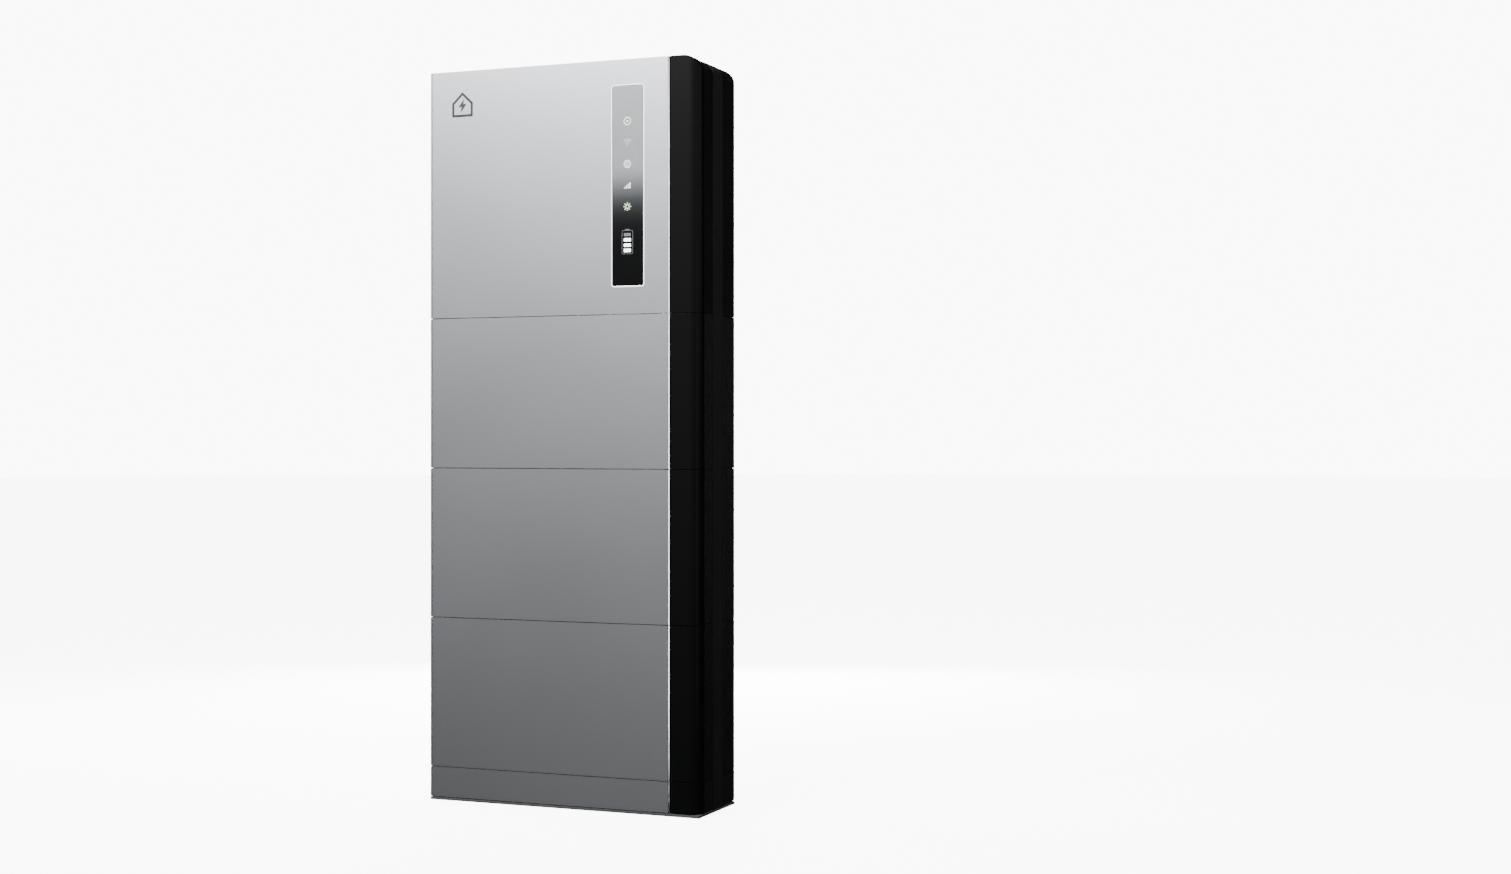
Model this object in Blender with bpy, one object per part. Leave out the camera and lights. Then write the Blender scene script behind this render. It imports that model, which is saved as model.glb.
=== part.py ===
"""Stacked home battery: a plinth, three battery modules and an inverter head with a display strip.

Frame: origin on the floor under the middle of the box, +X to the right along the front,
the front facing -Y, +Z up. Lengths are in metres.
"""
import math

import bmesh
import bpy
from mathutils import Matrix, Vector

# Driving dimensions of the stack
WIDTH = 0.650
CASE_DEPTH = 0.198
WALL_GAP = 0.015
BASE_HEIGHT = 0.074
MODULE_HEIGHT = 0.330
MODULE_COUNT = 3
HEAD_HEIGHT = 0.544

# Clearances
GAP = 0.0003
SEAM = 0.0014
OVERCUT = 0.004

# Front shell: a silver panel and a black trim with a round outer corner
TRIM_WIDTH = 0.0684
TRIM_SLIT = 0.0026
CORNER_RADIUS = 0.025
LEFT_EDGE_RADIUS = 0.003
RIGHT_EDGE_CHAMFER = 0.003
EDGE_GROOVE = (0.0055, 0.0071)
EDGE_GROOVE_DEEP = 0.0018
SHELL_DEPTH = 0.027
SHELL_WALL = 0.003

# Ribbed housings behind the front shell
CASE_INSET = 0.0015
CASE_WALL = 0.004
REAR_WALL = 0.012
GROOVE_WIDTH = 0.0050
GROOVE_PITCH = 0.0140
GROOVE_DEEP = 0.0018
RIB_ZONES = ((0.034, 0.076), (0.136, 0.192))
HEAD_SIDE_RADIUS = 0.036
HEAD_REAR_RADIUS = 0.019

# Full-height cover strips let into the housings' sides
STRIP_ZONE = (0.079, 0.129)
STRIP_RECESS = 0.0025
STRIP_PROUD = 0.0005

# Base plate and levelling feet
PLATE_HEIGHT = 0.006
PLATE_SHADOW_GAP = 0.0016
FOOT_RADIUS = 0.014
FOOT_STEM_RADIUS = 0.005

# Battery cells: two rows of prismatic cells in each module
CELL_THICKNESS = 0.0525
CELL_DEPTH = 0.148
CELL_HEIGHT = 0.118
CELLS_PER_ROW = 8

# Power link column that passes the battery voltage from tier to tier
LINK_WIDTH = 0.100
LINK_DEPTH = 0.050
LINK_WALL = 0.005
LINK_RISE = 0.012
LINK_X = 0.235

# Display strip
DISPLAY_WIDTH = 0.0718
DISPLAY_HEIGHT = 0.4261
DISPLAY_X = 0.159
DISPLAY_RISE = 0.2742
DISPLAY_RADIUS = 0.004
GLASS_THICKNESS = 0.0026

# Connection bay in the head's left side
BAY_WIDTH = 0.120
BAY_HEIGHT = 0.400
BAY_DEPTH = 0.045
BAY_WALL = 0.0025
BAY_RISE = 0.051
BAY_SETBACK = 0.054

# Heat sink pocket in the head's back
SINK_WIDTH = 0.500
SINK_HEIGHT = 0.400
SINK_DEPTH = 0.052
SINK_X = 0.020
SINK_RISE = 0.060
FIN_PITCH = 0.0205
FIN_THICKNESS = 0.003
SINK_PLATE = 0.006

LEFT_X = -WIDTH / 2
RIGHT_X = WIDTH / 2
SPLIT_X = RIGHT_X - TRIM_WIDTH
FRONT_Y = -(CASE_DEPTH + WALL_GAP) / 2
BACK_Y = FRONT_Y + CASE_DEPTH
WALL_Y = BACK_Y + WALL_GAP
SHELL_BACK_Y = FRONT_Y + SHELL_DEPTH
CASE_X = RIGHT_X - CASE_INSET
HEAD_Z = BASE_HEIGHT + MODULE_COUNT * MODULE_HEIGHT
TOP_Z = HEAD_Z + HEAD_HEIGHT

# Finish name: colour (linear RGB), roughness, metallic
FINISHES = {
    "silver_aluminium": ((0.42, 0.43, 0.45), 0.42, 0.9),
    "gloss_black": ((0.010, 0.010, 0.010), 0.2, 0.0),
    "black_housing": ((0.014, 0.014, 0.014), 0.55, 0.3),
    "dark_steel": ((0.055, 0.055, 0.056), 0.5, 0.5),
    "zinc_steel": ((0.46, 0.46, 0.45), 0.4, 0.9),
    "smoked_glass": ((0.05, 0.055, 0.06), 0.1, 0.0),
    "circuit_board": ((0.012, 0.085, 0.040), 0.5, 0.0),
    "blue_cell_wrap": ((0.020, 0.075, 0.210), 0.45, 0.0),
    "bare_aluminium": ((0.55, 0.55, 0.56), 0.45, 0.9),
    "black_plastic": ((0.016, 0.016, 0.017), 0.5, 0.0),
    "grey_plastic": ((0.120, 0.125, 0.130), 0.5, 0.0),
    "red_plastic": ((0.420, 0.016, 0.012), 0.4, 0.0),
    "copper": ((0.600, 0.250, 0.110), 0.35, 1.0),
    "brass": ((0.560, 0.400, 0.130), 0.35, 1.0),
}


def clear_scene():
    for old in list(bpy.data.objects):
        bpy.data.objects.remove(old, do_unlink=True)


def finish(name):
    """Return the Principled material of a finish, making it the first time it is asked for."""
    if name in bpy.data.materials:
        return bpy.data.materials[name]
    colour, roughness, metallic = FINISHES[name]
    material = bpy.data.materials.new(name)
    material.use_nodes = True
    shader = material.node_tree.nodes["Principled BSDF"]
    shader.inputs["Base Color"].default_value = (*colour, 1.0)
    shader.inputs["Roughness"].default_value = roughness
    shader.inputs["Metallic"].default_value = metallic
    material.diffuse_color = (*colour, 1.0)
    return material


def link(name, mesh):
    piece = bpy.data.objects.new(name, mesh)
    bpy.context.scene.collection.objects.link(piece)
    return piece


def place(axis, first, second, along):
    """Put an outline's point into space: the outline lies across the axis it is extruded along."""
    if axis == "X":
        return (along, first, second)
    if axis == "Y":
        return (first, along, second)
    return (first, second, along)


def prism(outline, axis, low, high, name="cutter"):
    """Extrude a closed outline along X, Y or Z, from low to high."""
    shape = bmesh.new()
    bottom = [shape.verts.new(place(axis, a, b, low)) for a, b in outline]
    face = shape.faces.new(bottom)
    grown = bmesh.ops.extrude_face_region(shape, geom=[face])
    top = [item for item in grown["geom"] if isinstance(item, bmesh.types.BMVert)]
    shift = Vector(place(axis, 0.0, 0.0, high - low))
    bmesh.ops.translate(shape, verts=top, vec=shift)
    bmesh.ops.recalc_face_normals(shape, faces=shape.faces)
    mesh = bpy.data.meshes.new(name)
    shape.to_mesh(mesh)
    shape.free()
    return link(name, mesh)


def rectangle(a0, a1, b0, b1):
    return [(a0, b0), (a1, b0), (a1, b1), (a0, b1)]


def box(low, high, name="cutter"):
    return prism(rectangle(low[0], high[0], low[1], high[1]), "Z", low[2], high[2], name)


def arc(centre, radius, start, end, steps):
    """Points on an arc, angles in degrees."""
    points = []
    for step in range(steps + 1):
        angle = math.radians(start + (end - start) * step / steps)
        points.append((centre[0] + radius * math.cos(angle), centre[1] + radius * math.sin(angle)))
    return points


def rounded(a0, a1, b0, b1, radius, steps=4):
    """Outline of a rectangle with four round corners."""
    corners = (
        ((a1 - radius, b0 + radius), -90),
        ((a1 - radius, b1 - radius), 0),
        ((a0 + radius, b1 - radius), 90),
        ((a0 + radius, b0 + radius), 180),
    )
    points = []
    for centre, start in corners:
        points += arc(centre, radius, start, start + 90, steps)
    return points


def circle(centre, radius, steps=16):
    return arc(centre, radius, 0, 360 - 360 / steps, steps - 1)


def combine(piece, other, operation):
    """Apply a boolean to the piece and throw the other object away."""
    modifier = piece.modifiers.new("combine", "BOOLEAN")
    modifier.operation = operation
    modifier.solver = "EXACT"
    modifier.object = other
    bpy.context.view_layer.update()
    evaluated = piece.evaluated_get(bpy.context.evaluated_depsgraph_get())
    mesh = bpy.data.meshes.new_from_object(evaluated)
    piece.modifiers.clear()
    piece.data = mesh
    bpy.data.objects.remove(other, do_unlink=True)
    return piece


def cut(piece, *cutters):
    for cutter in cutters:
        combine(piece, cutter, "DIFFERENCE")
    return piece


def fuse(piece, *others):
    for other in others:
        combine(piece, other, "UNION")
    return piece


def done(piece, name, finish_name, pivot=None):
    """Name the piece, give it its finish, and move its origin to its joint axis if it has one."""
    piece.name = name
    piece.data.name = name
    piece.data.materials.clear()
    piece.data.materials.append(finish(finish_name))
    if pivot is not None:
        piece.data.transform(Matrix.Translation(-Vector(pivot)))
        piece.location = pivot
    piece.data.shade_smooth()
    piece.data.set_sharp_from_angle(angle=math.radians(30))
    return piece


def corner_waste(centre, radius, axis, low, high, towards=1):
    """What a round edge takes off a square one, for an edge at the top; towards is +1 or -1."""
    reach = radius + OVERCUT
    if towards > 0:
        outline = arc(centre, radius, 90, 0, 8)
    else:
        outline = arc(centre, radius, 90, 180, 8)
    outline += [
        (centre[0] + towards * reach, centre[1]),
        (centre[0] + towards * reach, centre[1] + reach),
        (centre[0], centre[1] + reach),
    ]
    return prism(outline, axis, low - OVERCUT, high + OVERCUT)


def round_head_side(block, inset=0.0):
    """Round the head's top right edge; the edge runs from front to back."""
    centre = (RIGHT_X - HEAD_SIDE_RADIUS, TOP_Z - HEAD_SIDE_RADIUS)
    return cut(block, corner_waste(centre, HEAD_SIDE_RADIUS - inset, "Y", FRONT_Y, BACK_Y))


def round_head_rear(block):
    """Round the head's top rear edge; the edge runs from side to side."""
    centre = (BACK_Y - HEAD_REAR_RADIUS, TOP_Z - CASE_INSET - HEAD_REAR_RADIUS)
    return cut(block, corner_waste(centre, HEAD_REAR_RADIUS, "X", LEFT_X, RIGHT_X))


def front_panel(tier, low, high):
    """Silver tray: front face, flanges all round, a small radius and a fine groove on the left."""
    back = SHELL_BACK_Y
    outline = [
        (SPLIT_X - RIGHT_EDGE_CHAMFER, FRONT_Y),
        (SPLIT_X, FRONT_Y + RIGHT_EDGE_CHAMFER),
        (SPLIT_X, back),
        (LEFT_X, back),
    ]
    centre = (LEFT_X + LEFT_EDGE_RADIUS, FRONT_Y + LEFT_EDGE_RADIUS)
    outline += arc(centre, LEFT_EDGE_RADIUS, 180, 270, 3)
    near, far = (LEFT_X + offset for offset in EDGE_GROOVE)
    floor_y = FRONT_Y + EDGE_GROOVE_DEEP
    outline += [(near, FRONT_Y), (near, floor_y), (far, floor_y), (far, FRONT_Y)]
    panel = prism(outline, "Z", low, high)
    hollow_low = (LEFT_X + SHELL_WALL, FRONT_Y + SHELL_WALL, low + SHELL_WALL)
    hollow_high = (SPLIT_X - RIGHT_EDGE_CHAMFER, back + OVERCUT, high - SHELL_WALL)
    cut(panel, box(hollow_low, hollow_high))
    return done(panel, tier + "_front_panel", "silver_aluminium")


def trim_block(low, high, inset, back):
    """Solid of the black trim's outer form, or of its hollow when inset is the wall."""
    left = SPLIT_X + TRIM_SLIT + inset
    right = RIGHT_X - inset
    front = FRONT_Y + inset
    radius = CORNER_RADIUS - inset
    outline = [(left, front)]
    outline += arc((right - radius, front + radius), radius, -90, 0, 8)
    outline += [(right, back), (left, back)]
    return prism(outline, "Z", low + inset, high - inset)


def side_trim(tier, low, high, is_head=False):
    """Black corner trim with its vertical round corner, hollow from behind."""
    trim = trim_block(low, high, 0.0, SHELL_BACK_Y)
    hollow = trim_block(low, high, SHELL_WALL, SHELL_BACK_Y + OVERCUT)
    if is_head:
        round_head_side(trim)
        round_head_side(hollow, SHELL_WALL)
    cut(trim, hollow)
    return done(trim, tier + "_side_trim", "gloss_black")


def grooved_side():
    """Plan points of a housing's right side, front to back, with its two zones of grooves."""
    points = []
    for start, end in RIB_ZONES:
        count = int((end - start) / GROOVE_PITCH) + 1
        for number in range(count):
            near = FRONT_Y + start + number * GROOVE_PITCH
            far = near + GROOVE_WIDTH
            points += [
                (CASE_X, near),
                (CASE_X - GROOVE_DEEP, near),
                (CASE_X - GROOVE_DEEP, far),
                (CASE_X, far),
            ]
    return points


def strip_section(proud, recess, low):
    """Front view of the right cover strip: upright, then bent over the head's round edge."""
    centre = (RIGHT_X - HEAD_SIDE_RADIUS, TOP_Z - HEAD_SIDE_RADIUS)
    radius = HEAD_SIDE_RADIUS - CASE_INSET
    outline = [(CASE_X - recess, low), (CASE_X + proud, low)]
    outline += arc(centre, radius + proud, 0, 90, 8)
    outline += arc(centre, radius - recess, 90, 0, 8)
    return outline


def left_strip_section(proud, recess, low):
    """Front view of the left cover strip, which ends under the head."""
    return rectangle(-CASE_X - proud, -CASE_X + recess, low, HEAD_Z - SEAM)


def cut_strip_channels(case, has_left=True):
    """Cut the shallow channels that the cover strips lie in."""
    y0, y1 = (FRONT_Y + depth for depth in STRIP_ZONE)
    cut(case, prism(strip_section(OVERCUT, STRIP_RECESS, -OVERCUT), "Y", y0, y1))
    if has_left:
        low, high = -OVERCUT, HEAD_Z + OVERCUT
        channel = rectangle(-CASE_X - OVERCUT, -CASE_X + STRIP_RECESS, low, high)
        cut(case, prism(channel, "Y", y0, y1))
    return case


def cover_strips():
    """The two full-height strips that cover the housings' joints at the sides."""
    y0 = FRONT_Y + STRIP_ZONE[0] + GAP
    y1 = FRONT_Y + STRIP_ZONE[1] - GAP
    low = PLATE_HEIGHT + GAP
    for name, section in (("right", strip_section), ("left", left_strip_section)):
        strip = prism(section(STRIP_PROUD, STRIP_RECESS - GAP, low), "Y", y0, y1)
        done(strip, f"cover_strip_{name}", "black_housing")


def case_block(low, high):
    """Solid of a ribbed housing, both sides alike."""
    front = SHELL_BACK_Y + GAP
    right = [(CASE_X, front)] + grooved_side() + [(CASE_X, BACK_Y)]
    left = [(-x, y) for x, y in reversed(right)]
    return prism(right + left, "Z", low, high)


def link_hole(low, high, play):
    """Cutter for the power link's way through a housing's top or bottom."""
    middle_y = (SHELL_BACK_Y + BACK_Y - REAR_WALL) / 2
    half_x = LINK_WIDTH / 2 + play
    half_y = LINK_DEPTH / 2 + play
    return box((LINK_X - half_x, middle_y - half_y, low), (LINK_X + half_x, middle_y + half_y, high))


def module_case(tier, low, high):
    """Open-fronted housing of a battery module."""
    inner_x = CASE_X - CASE_WALL
    case = case_block(low, high)
    hollow_low = (-inner_x, SHELL_BACK_Y - OVERCUT, low + CASE_WALL)
    hollow_high = (inner_x, BACK_Y - REAR_WALL, high - CASE_WALL)
    cut(case, box(hollow_low, hollow_high))
    cut(case, link_hole(high - CASE_WALL - OVERCUT, high + OVERCUT, GAP))
    cut(case, link_hole(low - OVERCUT, low + CASE_WALL + OVERCUT, 0.002))
    cut_strip_channels(case)
    for side in (-1, 1):
        x = side * WIDTH / 5
        pocket_low = (x - 0.090, BACK_Y - 0.004, low + 0.050)
        pocket_high = (x + 0.090, BACK_Y + OVERCUT, high - 0.050)
        cut(case, box(pocket_low, pocket_high))
    return done(case, tier + "_case", "black_housing")


def cell_row(tier, row, bottom):
    """Eight prismatic cells in one block, parted by grooves and with terminals on top."""
    width = CELLS_PER_ROW * CELL_THICKNESS
    left = LEFT_X + CASE_INSET + CASE_WALL + 0.006
    front = SHELL_BACK_Y + 0.004
    back = front + CELL_DEPTH
    groove = 0.0015
    outline = []
    for number in range(CELLS_PER_ROW):
        start = left + number * CELL_THICKNESS
        outline += [(start + groove, front), (start + CELL_THICKNESS - groove, front)]
        if number < CELLS_PER_ROW - 1:
            seam = start + CELL_THICKNESS
            outline += [(seam - groove, front + 0.003), (seam + groove, front + 0.003)]
    outline += [(left + width - groove, back), (left + groove, back)]
    block = prism(outline, "Z", bottom, bottom + CELL_HEIGHT)
    for number in range(CELLS_PER_ROW):
        x = left + (number + 0.5) * CELL_THICKNESS
        for y in (front + 0.030, back - 0.030):
            terminal = rectangle(x - 0.011, x + 0.011, y - 0.008, y + 0.008)
            fuse(block, prism(terminal, "Z", bottom + CELL_HEIGHT - 0.002, bottom + CELL_HEIGHT + 0.004))
    return done(block, f"{tier}_cell_row_{row}", "blue_cell_wrap")


def management_board(tier, low):
    """Battery management board with its contactor, fuse and sensing sockets."""
    front = SHELL_BACK_Y + 0.006
    board = box((0.128, front + 0.010, low + 0.040), (0.308, front + 0.012, low + 0.290))
    blocks = (
        ((0.140, 0.055), (0.190, 0.105), 0.010),
        ((0.200, 0.055), (0.235, 0.090), 0.008),
        ((0.140, 0.130), (0.160, 0.260), 0.006),
        ((0.180, 0.150), (0.290, 0.175), 0.009),
        ((0.250, 0.200), (0.295, 0.270), 0.007),
    )
    for (x0, z0), (x1, z1), height in blocks:
        fuse(board, box((x0, front + 0.010 - height, low + z0), (x1, front + 0.011, low + z1)))
    return done(board, tier + "_management_board", "circuit_board")


def power_link(tier, low, high):
    """Column with a plug on top and, underneath, the socket that the tier below plugs into."""
    middle_y = (SHELL_BACK_Y + BACK_Y - REAR_WALL) / 2
    half_x = LINK_WIDTH / 2
    half_y = LINK_DEPTH / 2
    bottom = low + CASE_WALL + 0.001
    column_low = (LINK_X - half_x - LINK_WALL, middle_y - half_y - LINK_WALL, bottom)
    column_high = (LINK_X + half_x + LINK_WALL, middle_y + half_y + LINK_WALL, high - CASE_WALL - GAP)
    column = box(column_low, column_high)
    plug_low = (LINK_X - half_x, middle_y - half_y, high - CASE_WALL - 0.002)
    plug_high = (LINK_X + half_x, middle_y + half_y, high + LINK_RISE)
    fuse(column, box(plug_low, plug_high))
    cut(column, link_hole(bottom - OVERCUT, bottom + LINK_RISE, 0.001))
    return done(column, tier + "_power_link", "black_plastic")


def battery_module(number):
    """One battery module, all its pieces."""
    tier = f"module_{number}"
    low = BASE_HEIGHT + (number - 1) * MODULE_HEIGHT
    high = low + MODULE_HEIGHT
    front_panel(tier, low + SEAM / 2, high - SEAM / 2)
    side_trim(tier, low + SEAM / 2, high - SEAM / 2)
    module_case(tier, low + GAP, high - GAP)
    cell_row(tier, "lower", low + 0.020)
    cell_row(tier, "upper", low + 0.172)
    management_board(tier, low)
    power_link(tier, low + GAP, high - GAP)


def foot_places():
    """Centres of the four levelling feet, by name."""
    front = FRONT_Y + 0.052
    back = BACK_Y - 0.036
    return {
        "foot_front_left": (-0.272, front),
        "foot_front_right": (0.272, front),
        "foot_rear_left": (-0.272, back),
        "foot_rear_right": (0.272, back),
    }


def base_plate():
    """Steel plate under the whole stack, with holes for the feet."""
    outline = rounded(LEFT_X, RIGHT_X, FRONT_Y, BACK_Y, 0.002, 2)
    plate = prism(outline, "Z", 0.0, PLATE_HEIGHT)
    for centre in foot_places().values():
        cut(plate, prism(circle(centre, FOOT_RADIUS + 0.0008), "Z", -OVERCUT, PLATE_HEIGHT + OVERCUT))
    return done(plate, "base_plate", "dark_steel")


def base_frame():
    """Ring of inverted steel channel with a threaded boss over each foot."""
    bottom = PLATE_HEIGHT + GAP
    top = BASE_HEIGHT - 0.0042
    bar = 0.036
    sheet = 0.003
    x0, x1 = -0.290, 0.290
    y0, y1 = FRONT_Y + 0.034, BACK_Y - 0.018
    frame = box((x0, y0, bottom), (x1, y1, top))
    cut(frame, box((x0 + bar, y0 + bar, bottom - OVERCUT), (x1 - bar, y1 - bar, top + OVERCUT)))
    channel = box((x0 + sheet, y0 + sheet, bottom - OVERCUT), (x1 - sheet, y1 - sheet, top - sheet))
    core_low = (x0 + bar - sheet, y0 + bar - sheet, bottom - 2 * OVERCUT)
    core_high = (x1 - bar + sheet, y1 - bar + sheet, top + OVERCUT)
    cut(channel, box(core_low, core_high))
    cut(frame, channel)
    for centre in foot_places().values():
        fuse(frame, prism(circle(centre, 0.009, 12), "Z", 0.038, top - sheet / 2))
        cut(frame, prism(circle(centre, FOOT_STEM_RADIUS + GAP, 12), "Z", 0.030, top + OVERCUT))
    return done(frame, "base_frame", "zinc_steel")


def base_housing(low, high):
    """Ribbed sides, back and top of the plinth, open below and to the front."""
    inner_x = CASE_X - CASE_WALL
    housing = case_block(low, high)
    hollow_low = (-inner_x, SHELL_BACK_Y - OVERCUT, low - OVERCUT)
    hollow_high = (inner_x, BACK_Y - CASE_WALL, high - 0.003)
    cut(housing, box(hollow_low, hollow_high))
    cut_strip_channels(housing)
    return done(housing, "base_housing", "black_housing")


def levelling_foot(name, centre):
    """Screwed foot: a round pad, a hexagon to turn it by, and a stem in the frame's boss."""
    pad_low = 0.0005
    foot = prism(circle(centre, FOOT_RADIUS), "Z", pad_low, pad_low + 0.005)
    fuse(foot, prism(circle(centre, 0.008, 6), "Z", pad_low + 0.004, pad_low + 0.011))
    fuse(foot, prism(circle(centre, FOOT_STEM_RADIUS, 12), "Z", pad_low + 0.010, 0.064))
    return done(foot, name, "zinc_steel", (centre[0], centre[1], pad_low))


def plinth():
    low = PLATE_HEIGHT + PLATE_SHADOW_GAP
    front_panel("base", low, BASE_HEIGHT - SEAM / 2)
    side_trim("base", low, BASE_HEIGHT - SEAM / 2)
    base_housing(low, BASE_HEIGHT - GAP)
    base_plate()
    base_frame()
    for name, centre in foot_places().items():
        levelling_foot(name, centre)


def display_outline(play):
    half = DISPLAY_WIDTH / 2 + play
    centre_z = HEAD_Z + DISPLAY_RISE
    reach = DISPLAY_HEIGHT / 2 + play
    return rounded(
        DISPLAY_X - half, DISPLAY_X + half, centre_z - reach, centre_z + reach, DISPLAY_RADIUS + play
    )


def display():
    """Glass strip with a hidden flange behind the panel, and its lamp board."""
    face = FRONT_Y + 0.0004
    glass = prism(display_outline(0.0), "Y", face, face + GLASS_THICKNESS + 0.001)
    flange_front = FRONT_Y + SHELL_WALL + GAP
    fuse(glass, prism(display_outline(0.004), "Y", flange_front, flange_front + 0.002))
    done(glass, "display_window", "smoked_glass")
    board_front = flange_front + 0.005
    board = prism(display_outline(-0.002), "Y", board_front, board_front + 0.0016)
    for number in range(6):
        z = HEAD_Z + DISPLAY_RISE - DISPLAY_HEIGHT / 2 + 0.075 + number * 0.0456
        lamp_low = (DISPLAY_X - 0.008, board_front - 0.002, z - 0.008)
        fuse(board, box(lamp_low, (DISPLAY_X + 0.008, board_front + 0.001, z + 0.008)))
    done(board, "display_board", "circuit_board")


def bay_limits():
    """Y and Z limits of the connection bay's mouth."""
    y0 = FRONT_Y + BAY_SETBACK
    z0 = HEAD_Z + BAY_RISE
    return y0, y0 + BAY_WIDTH, z0, z0 + BAY_HEIGHT


def sink_limits(play=0.0):
    """X and Z limits of the heat sink pocket."""
    z0 = HEAD_Z + SINK_RISE
    half = SINK_WIDTH / 2 + play
    return SINK_X - half, SINK_X + half, z0 - play, z0 + SINK_HEIGHT + play


def head_case(low, high):
    """Cast housing of the inverter: open front, a bay window on the left, a fin pocket behind."""
    inner_x = CASE_X - CASE_WALL
    pocket_floor = BACK_Y - SINK_DEPTH
    case = round_head_rear(round_head_side(case_block(low, high), CASE_INSET))
    hollow_low = (-inner_x, SHELL_BACK_Y - OVERCUT, low + CASE_WALL)
    hollow = box(hollow_low, (inner_x, BACK_Y - REAR_WALL, high - CASE_WALL))
    x0, x1, z0, z1 = sink_limits(CASE_WALL)
    cut(hollow, box((x0, pocket_floor - CASE_WALL, z0), (x1, BACK_Y, z1)))
    cut(case, round_head_side(hollow, CASE_INSET + CASE_WALL))
    x0, x1, z0, z1 = sink_limits()
    cut(case, box((x0, pocket_floor, z0), (x1, BACK_Y + OVERCUT, z1)))
    y0, y1, z0, z1 = bay_limits()
    cut(case, box((-CASE_X - OVERCUT, y0, z0), (-inner_x + OVERCUT, y1, z1)))
    cut(case, link_hole(low - OVERCUT, low + CASE_WALL + OVERCUT, 0.002))
    cut_strip_channels(case, has_left=False)
    return done(case, "head_case", "black_housing")


def heat_sink():
    """Extruded heat sink: a base plate with upright fins, in the head's rear pocket."""
    x0, x1, z0, z1 = sink_limits(-0.002)
    front = BACK_Y - SINK_DEPTH + GAP
    root = front + SINK_PLATE
    tip = BACK_Y - 0.002
    outline = [(x0, front), (x1, front), (x1, root)]
    count = int((x1 - x0 - FIN_THICKNESS) / FIN_PITCH) + 1
    margin = (x1 - x0 - (count - 1) * FIN_PITCH) / 2
    for number in reversed(range(count)):
        x = x0 + margin + number * FIN_PITCH
        near = x + FIN_THICKNESS / 2
        far = x - FIN_THICKNESS / 2
        outline += [(near, root), (near, tip), (far, tip), (far, root)]
    outline += [(x0, root)]
    sink = prism(outline, "Z", z0, z1)
    return done(sink, "heat_sink", "bare_aluminium")


def connection_bay():
    """Five-sided tray let into the head's left side."""
    y0, y1, z0, z1 = bay_limits()
    floor_x = -CASE_X + BAY_DEPTH
    bay = box((-CASE_X, y0 + GAP, z0 + GAP), (floor_x + BAY_WALL, y1 - GAP, z1 - GAP))
    hollow_low = (-CASE_X - OVERCUT, y0 + BAY_WALL, z0 + BAY_WALL)
    cut(bay, box(hollow_low, (floor_x, y1 - BAY_WALL, z1 - BAY_WALL)))
    y, z = bay_spot(0.096, 0.300)
    cut(bay, prism(circle((y, z), 0.0084), "X", floor_x - OVERCUT, floor_x + BAY_WALL + OVERCUT))
    return done(bay, "connection_bay", "black_plastic")


def bay_spot(across, up):
    """Y and Z of a place on the bay's floor, from the bay's front edge and the head's bottom."""
    return FRONT_Y + BAY_SETBACK + across, HEAD_Z + up


def bay_x(height):
    """X of a plane that stands the given height off the bay's floor."""
    return -CASE_X + BAY_DEPTH - height


def upright(outline, low, high):
    """Prism standing off the bay's floor, between two heights above it."""
    return prism(outline, "X", bay_x(high), bay_x(low))


def isolator():
    """Rotary switch for the solar input: a square housing and a knob with a grip bar."""
    y, z = bay_spot(0.060, 0.395)
    housing = upright(rounded(y - 0.033, y + 0.033, z - 0.033, z + 0.033, 0.006), GAP, 0.014)
    cut(housing, upright(circle((y, z), 0.0045), 0.004, 0.014 + OVERCUT))
    done(housing, "isolator_housing", "grey_plastic")
    knob = upright(circle((y, z), 0.022), 0.0145, 0.021)
    fuse(knob, upright(circle((y, z), 0.004, 12), 0.005, 0.016))
    fuse(knob, upright(rounded(y - 0.006, y + 0.006, z - 0.021, z + 0.021, 0.004, 3), 0.020, 0.034))
    done(knob, "isolator_knob", "red_plastic", (bay_x(0.0145), y, z))


def breaker():
    """Battery breaker: a moulded body with a rocking lever in a round seat."""
    y, z = bay_spot(0.036, 0.275)
    half_width = 0.027
    drum_height = 0.021
    body = upright(rectangle(y - half_width, y + half_width, z - 0.042, z + 0.042), GAP, 0.018)
    fuse(body, upright(rectangle(y - half_width, y + half_width, z - 0.023, z + 0.023), 0.017, 0.025))
    centre = (bay_x(drum_height), z)
    seat_half = 0.021
    cut(body, prism(circle(centre, 0.0085), "Y", y - seat_half, y + seat_half))
    done(body, "breaker_body", "grey_plastic")
    drum_half = seat_half - 0.0005
    lever = prism(circle(centre, 0.0080), "Y", y - drum_half, y + drum_half)
    blade_half = 0.0022
    blade = prism(
        rectangle(bay_x(0.040), bay_x(drum_height), z - blade_half, z + blade_half),
        "Y", y - drum_half + 0.003, y + drum_half - 0.003,
    )
    tilt = Matrix.Rotation(math.radians(30), 4, "Y")
    pivot = Vector((bay_x(drum_height), y, z))
    blade.data.transform(Matrix.Translation(pivot) @ tilt @ Matrix.Translation(-pivot))
    fuse(lever, blade)
    done(lever, "breaker_lever", "black_plastic", pivot)


def power_button():
    y, z = bay_spot(0.096, 0.300)
    button = upright(circle((y, z), 0.0080), -0.006, 0.0032)
    fuse(button, upright(circle((y, z), 0.0095), -0.006, -0.0028))
    done(button, "power_button", "gloss_black", (bay_x(0.0), y, z))


def round_connector(name, across, up, radius, length, finish_name):
    """Panel connector with a six-sided collar, a barrel and a round cap."""
    y, z = bay_spot(across, up)
    body = upright(circle((y, z), radius * 1.12, 6), GAP, length * 0.25)
    fuse(body, upright(circle((y, z), radius * 0.82), length * 0.2, length * 0.7))
    fuse(body, upright(circle((y, z), radius), length * 0.6, length))
    done(body, name, finish_name)


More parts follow.
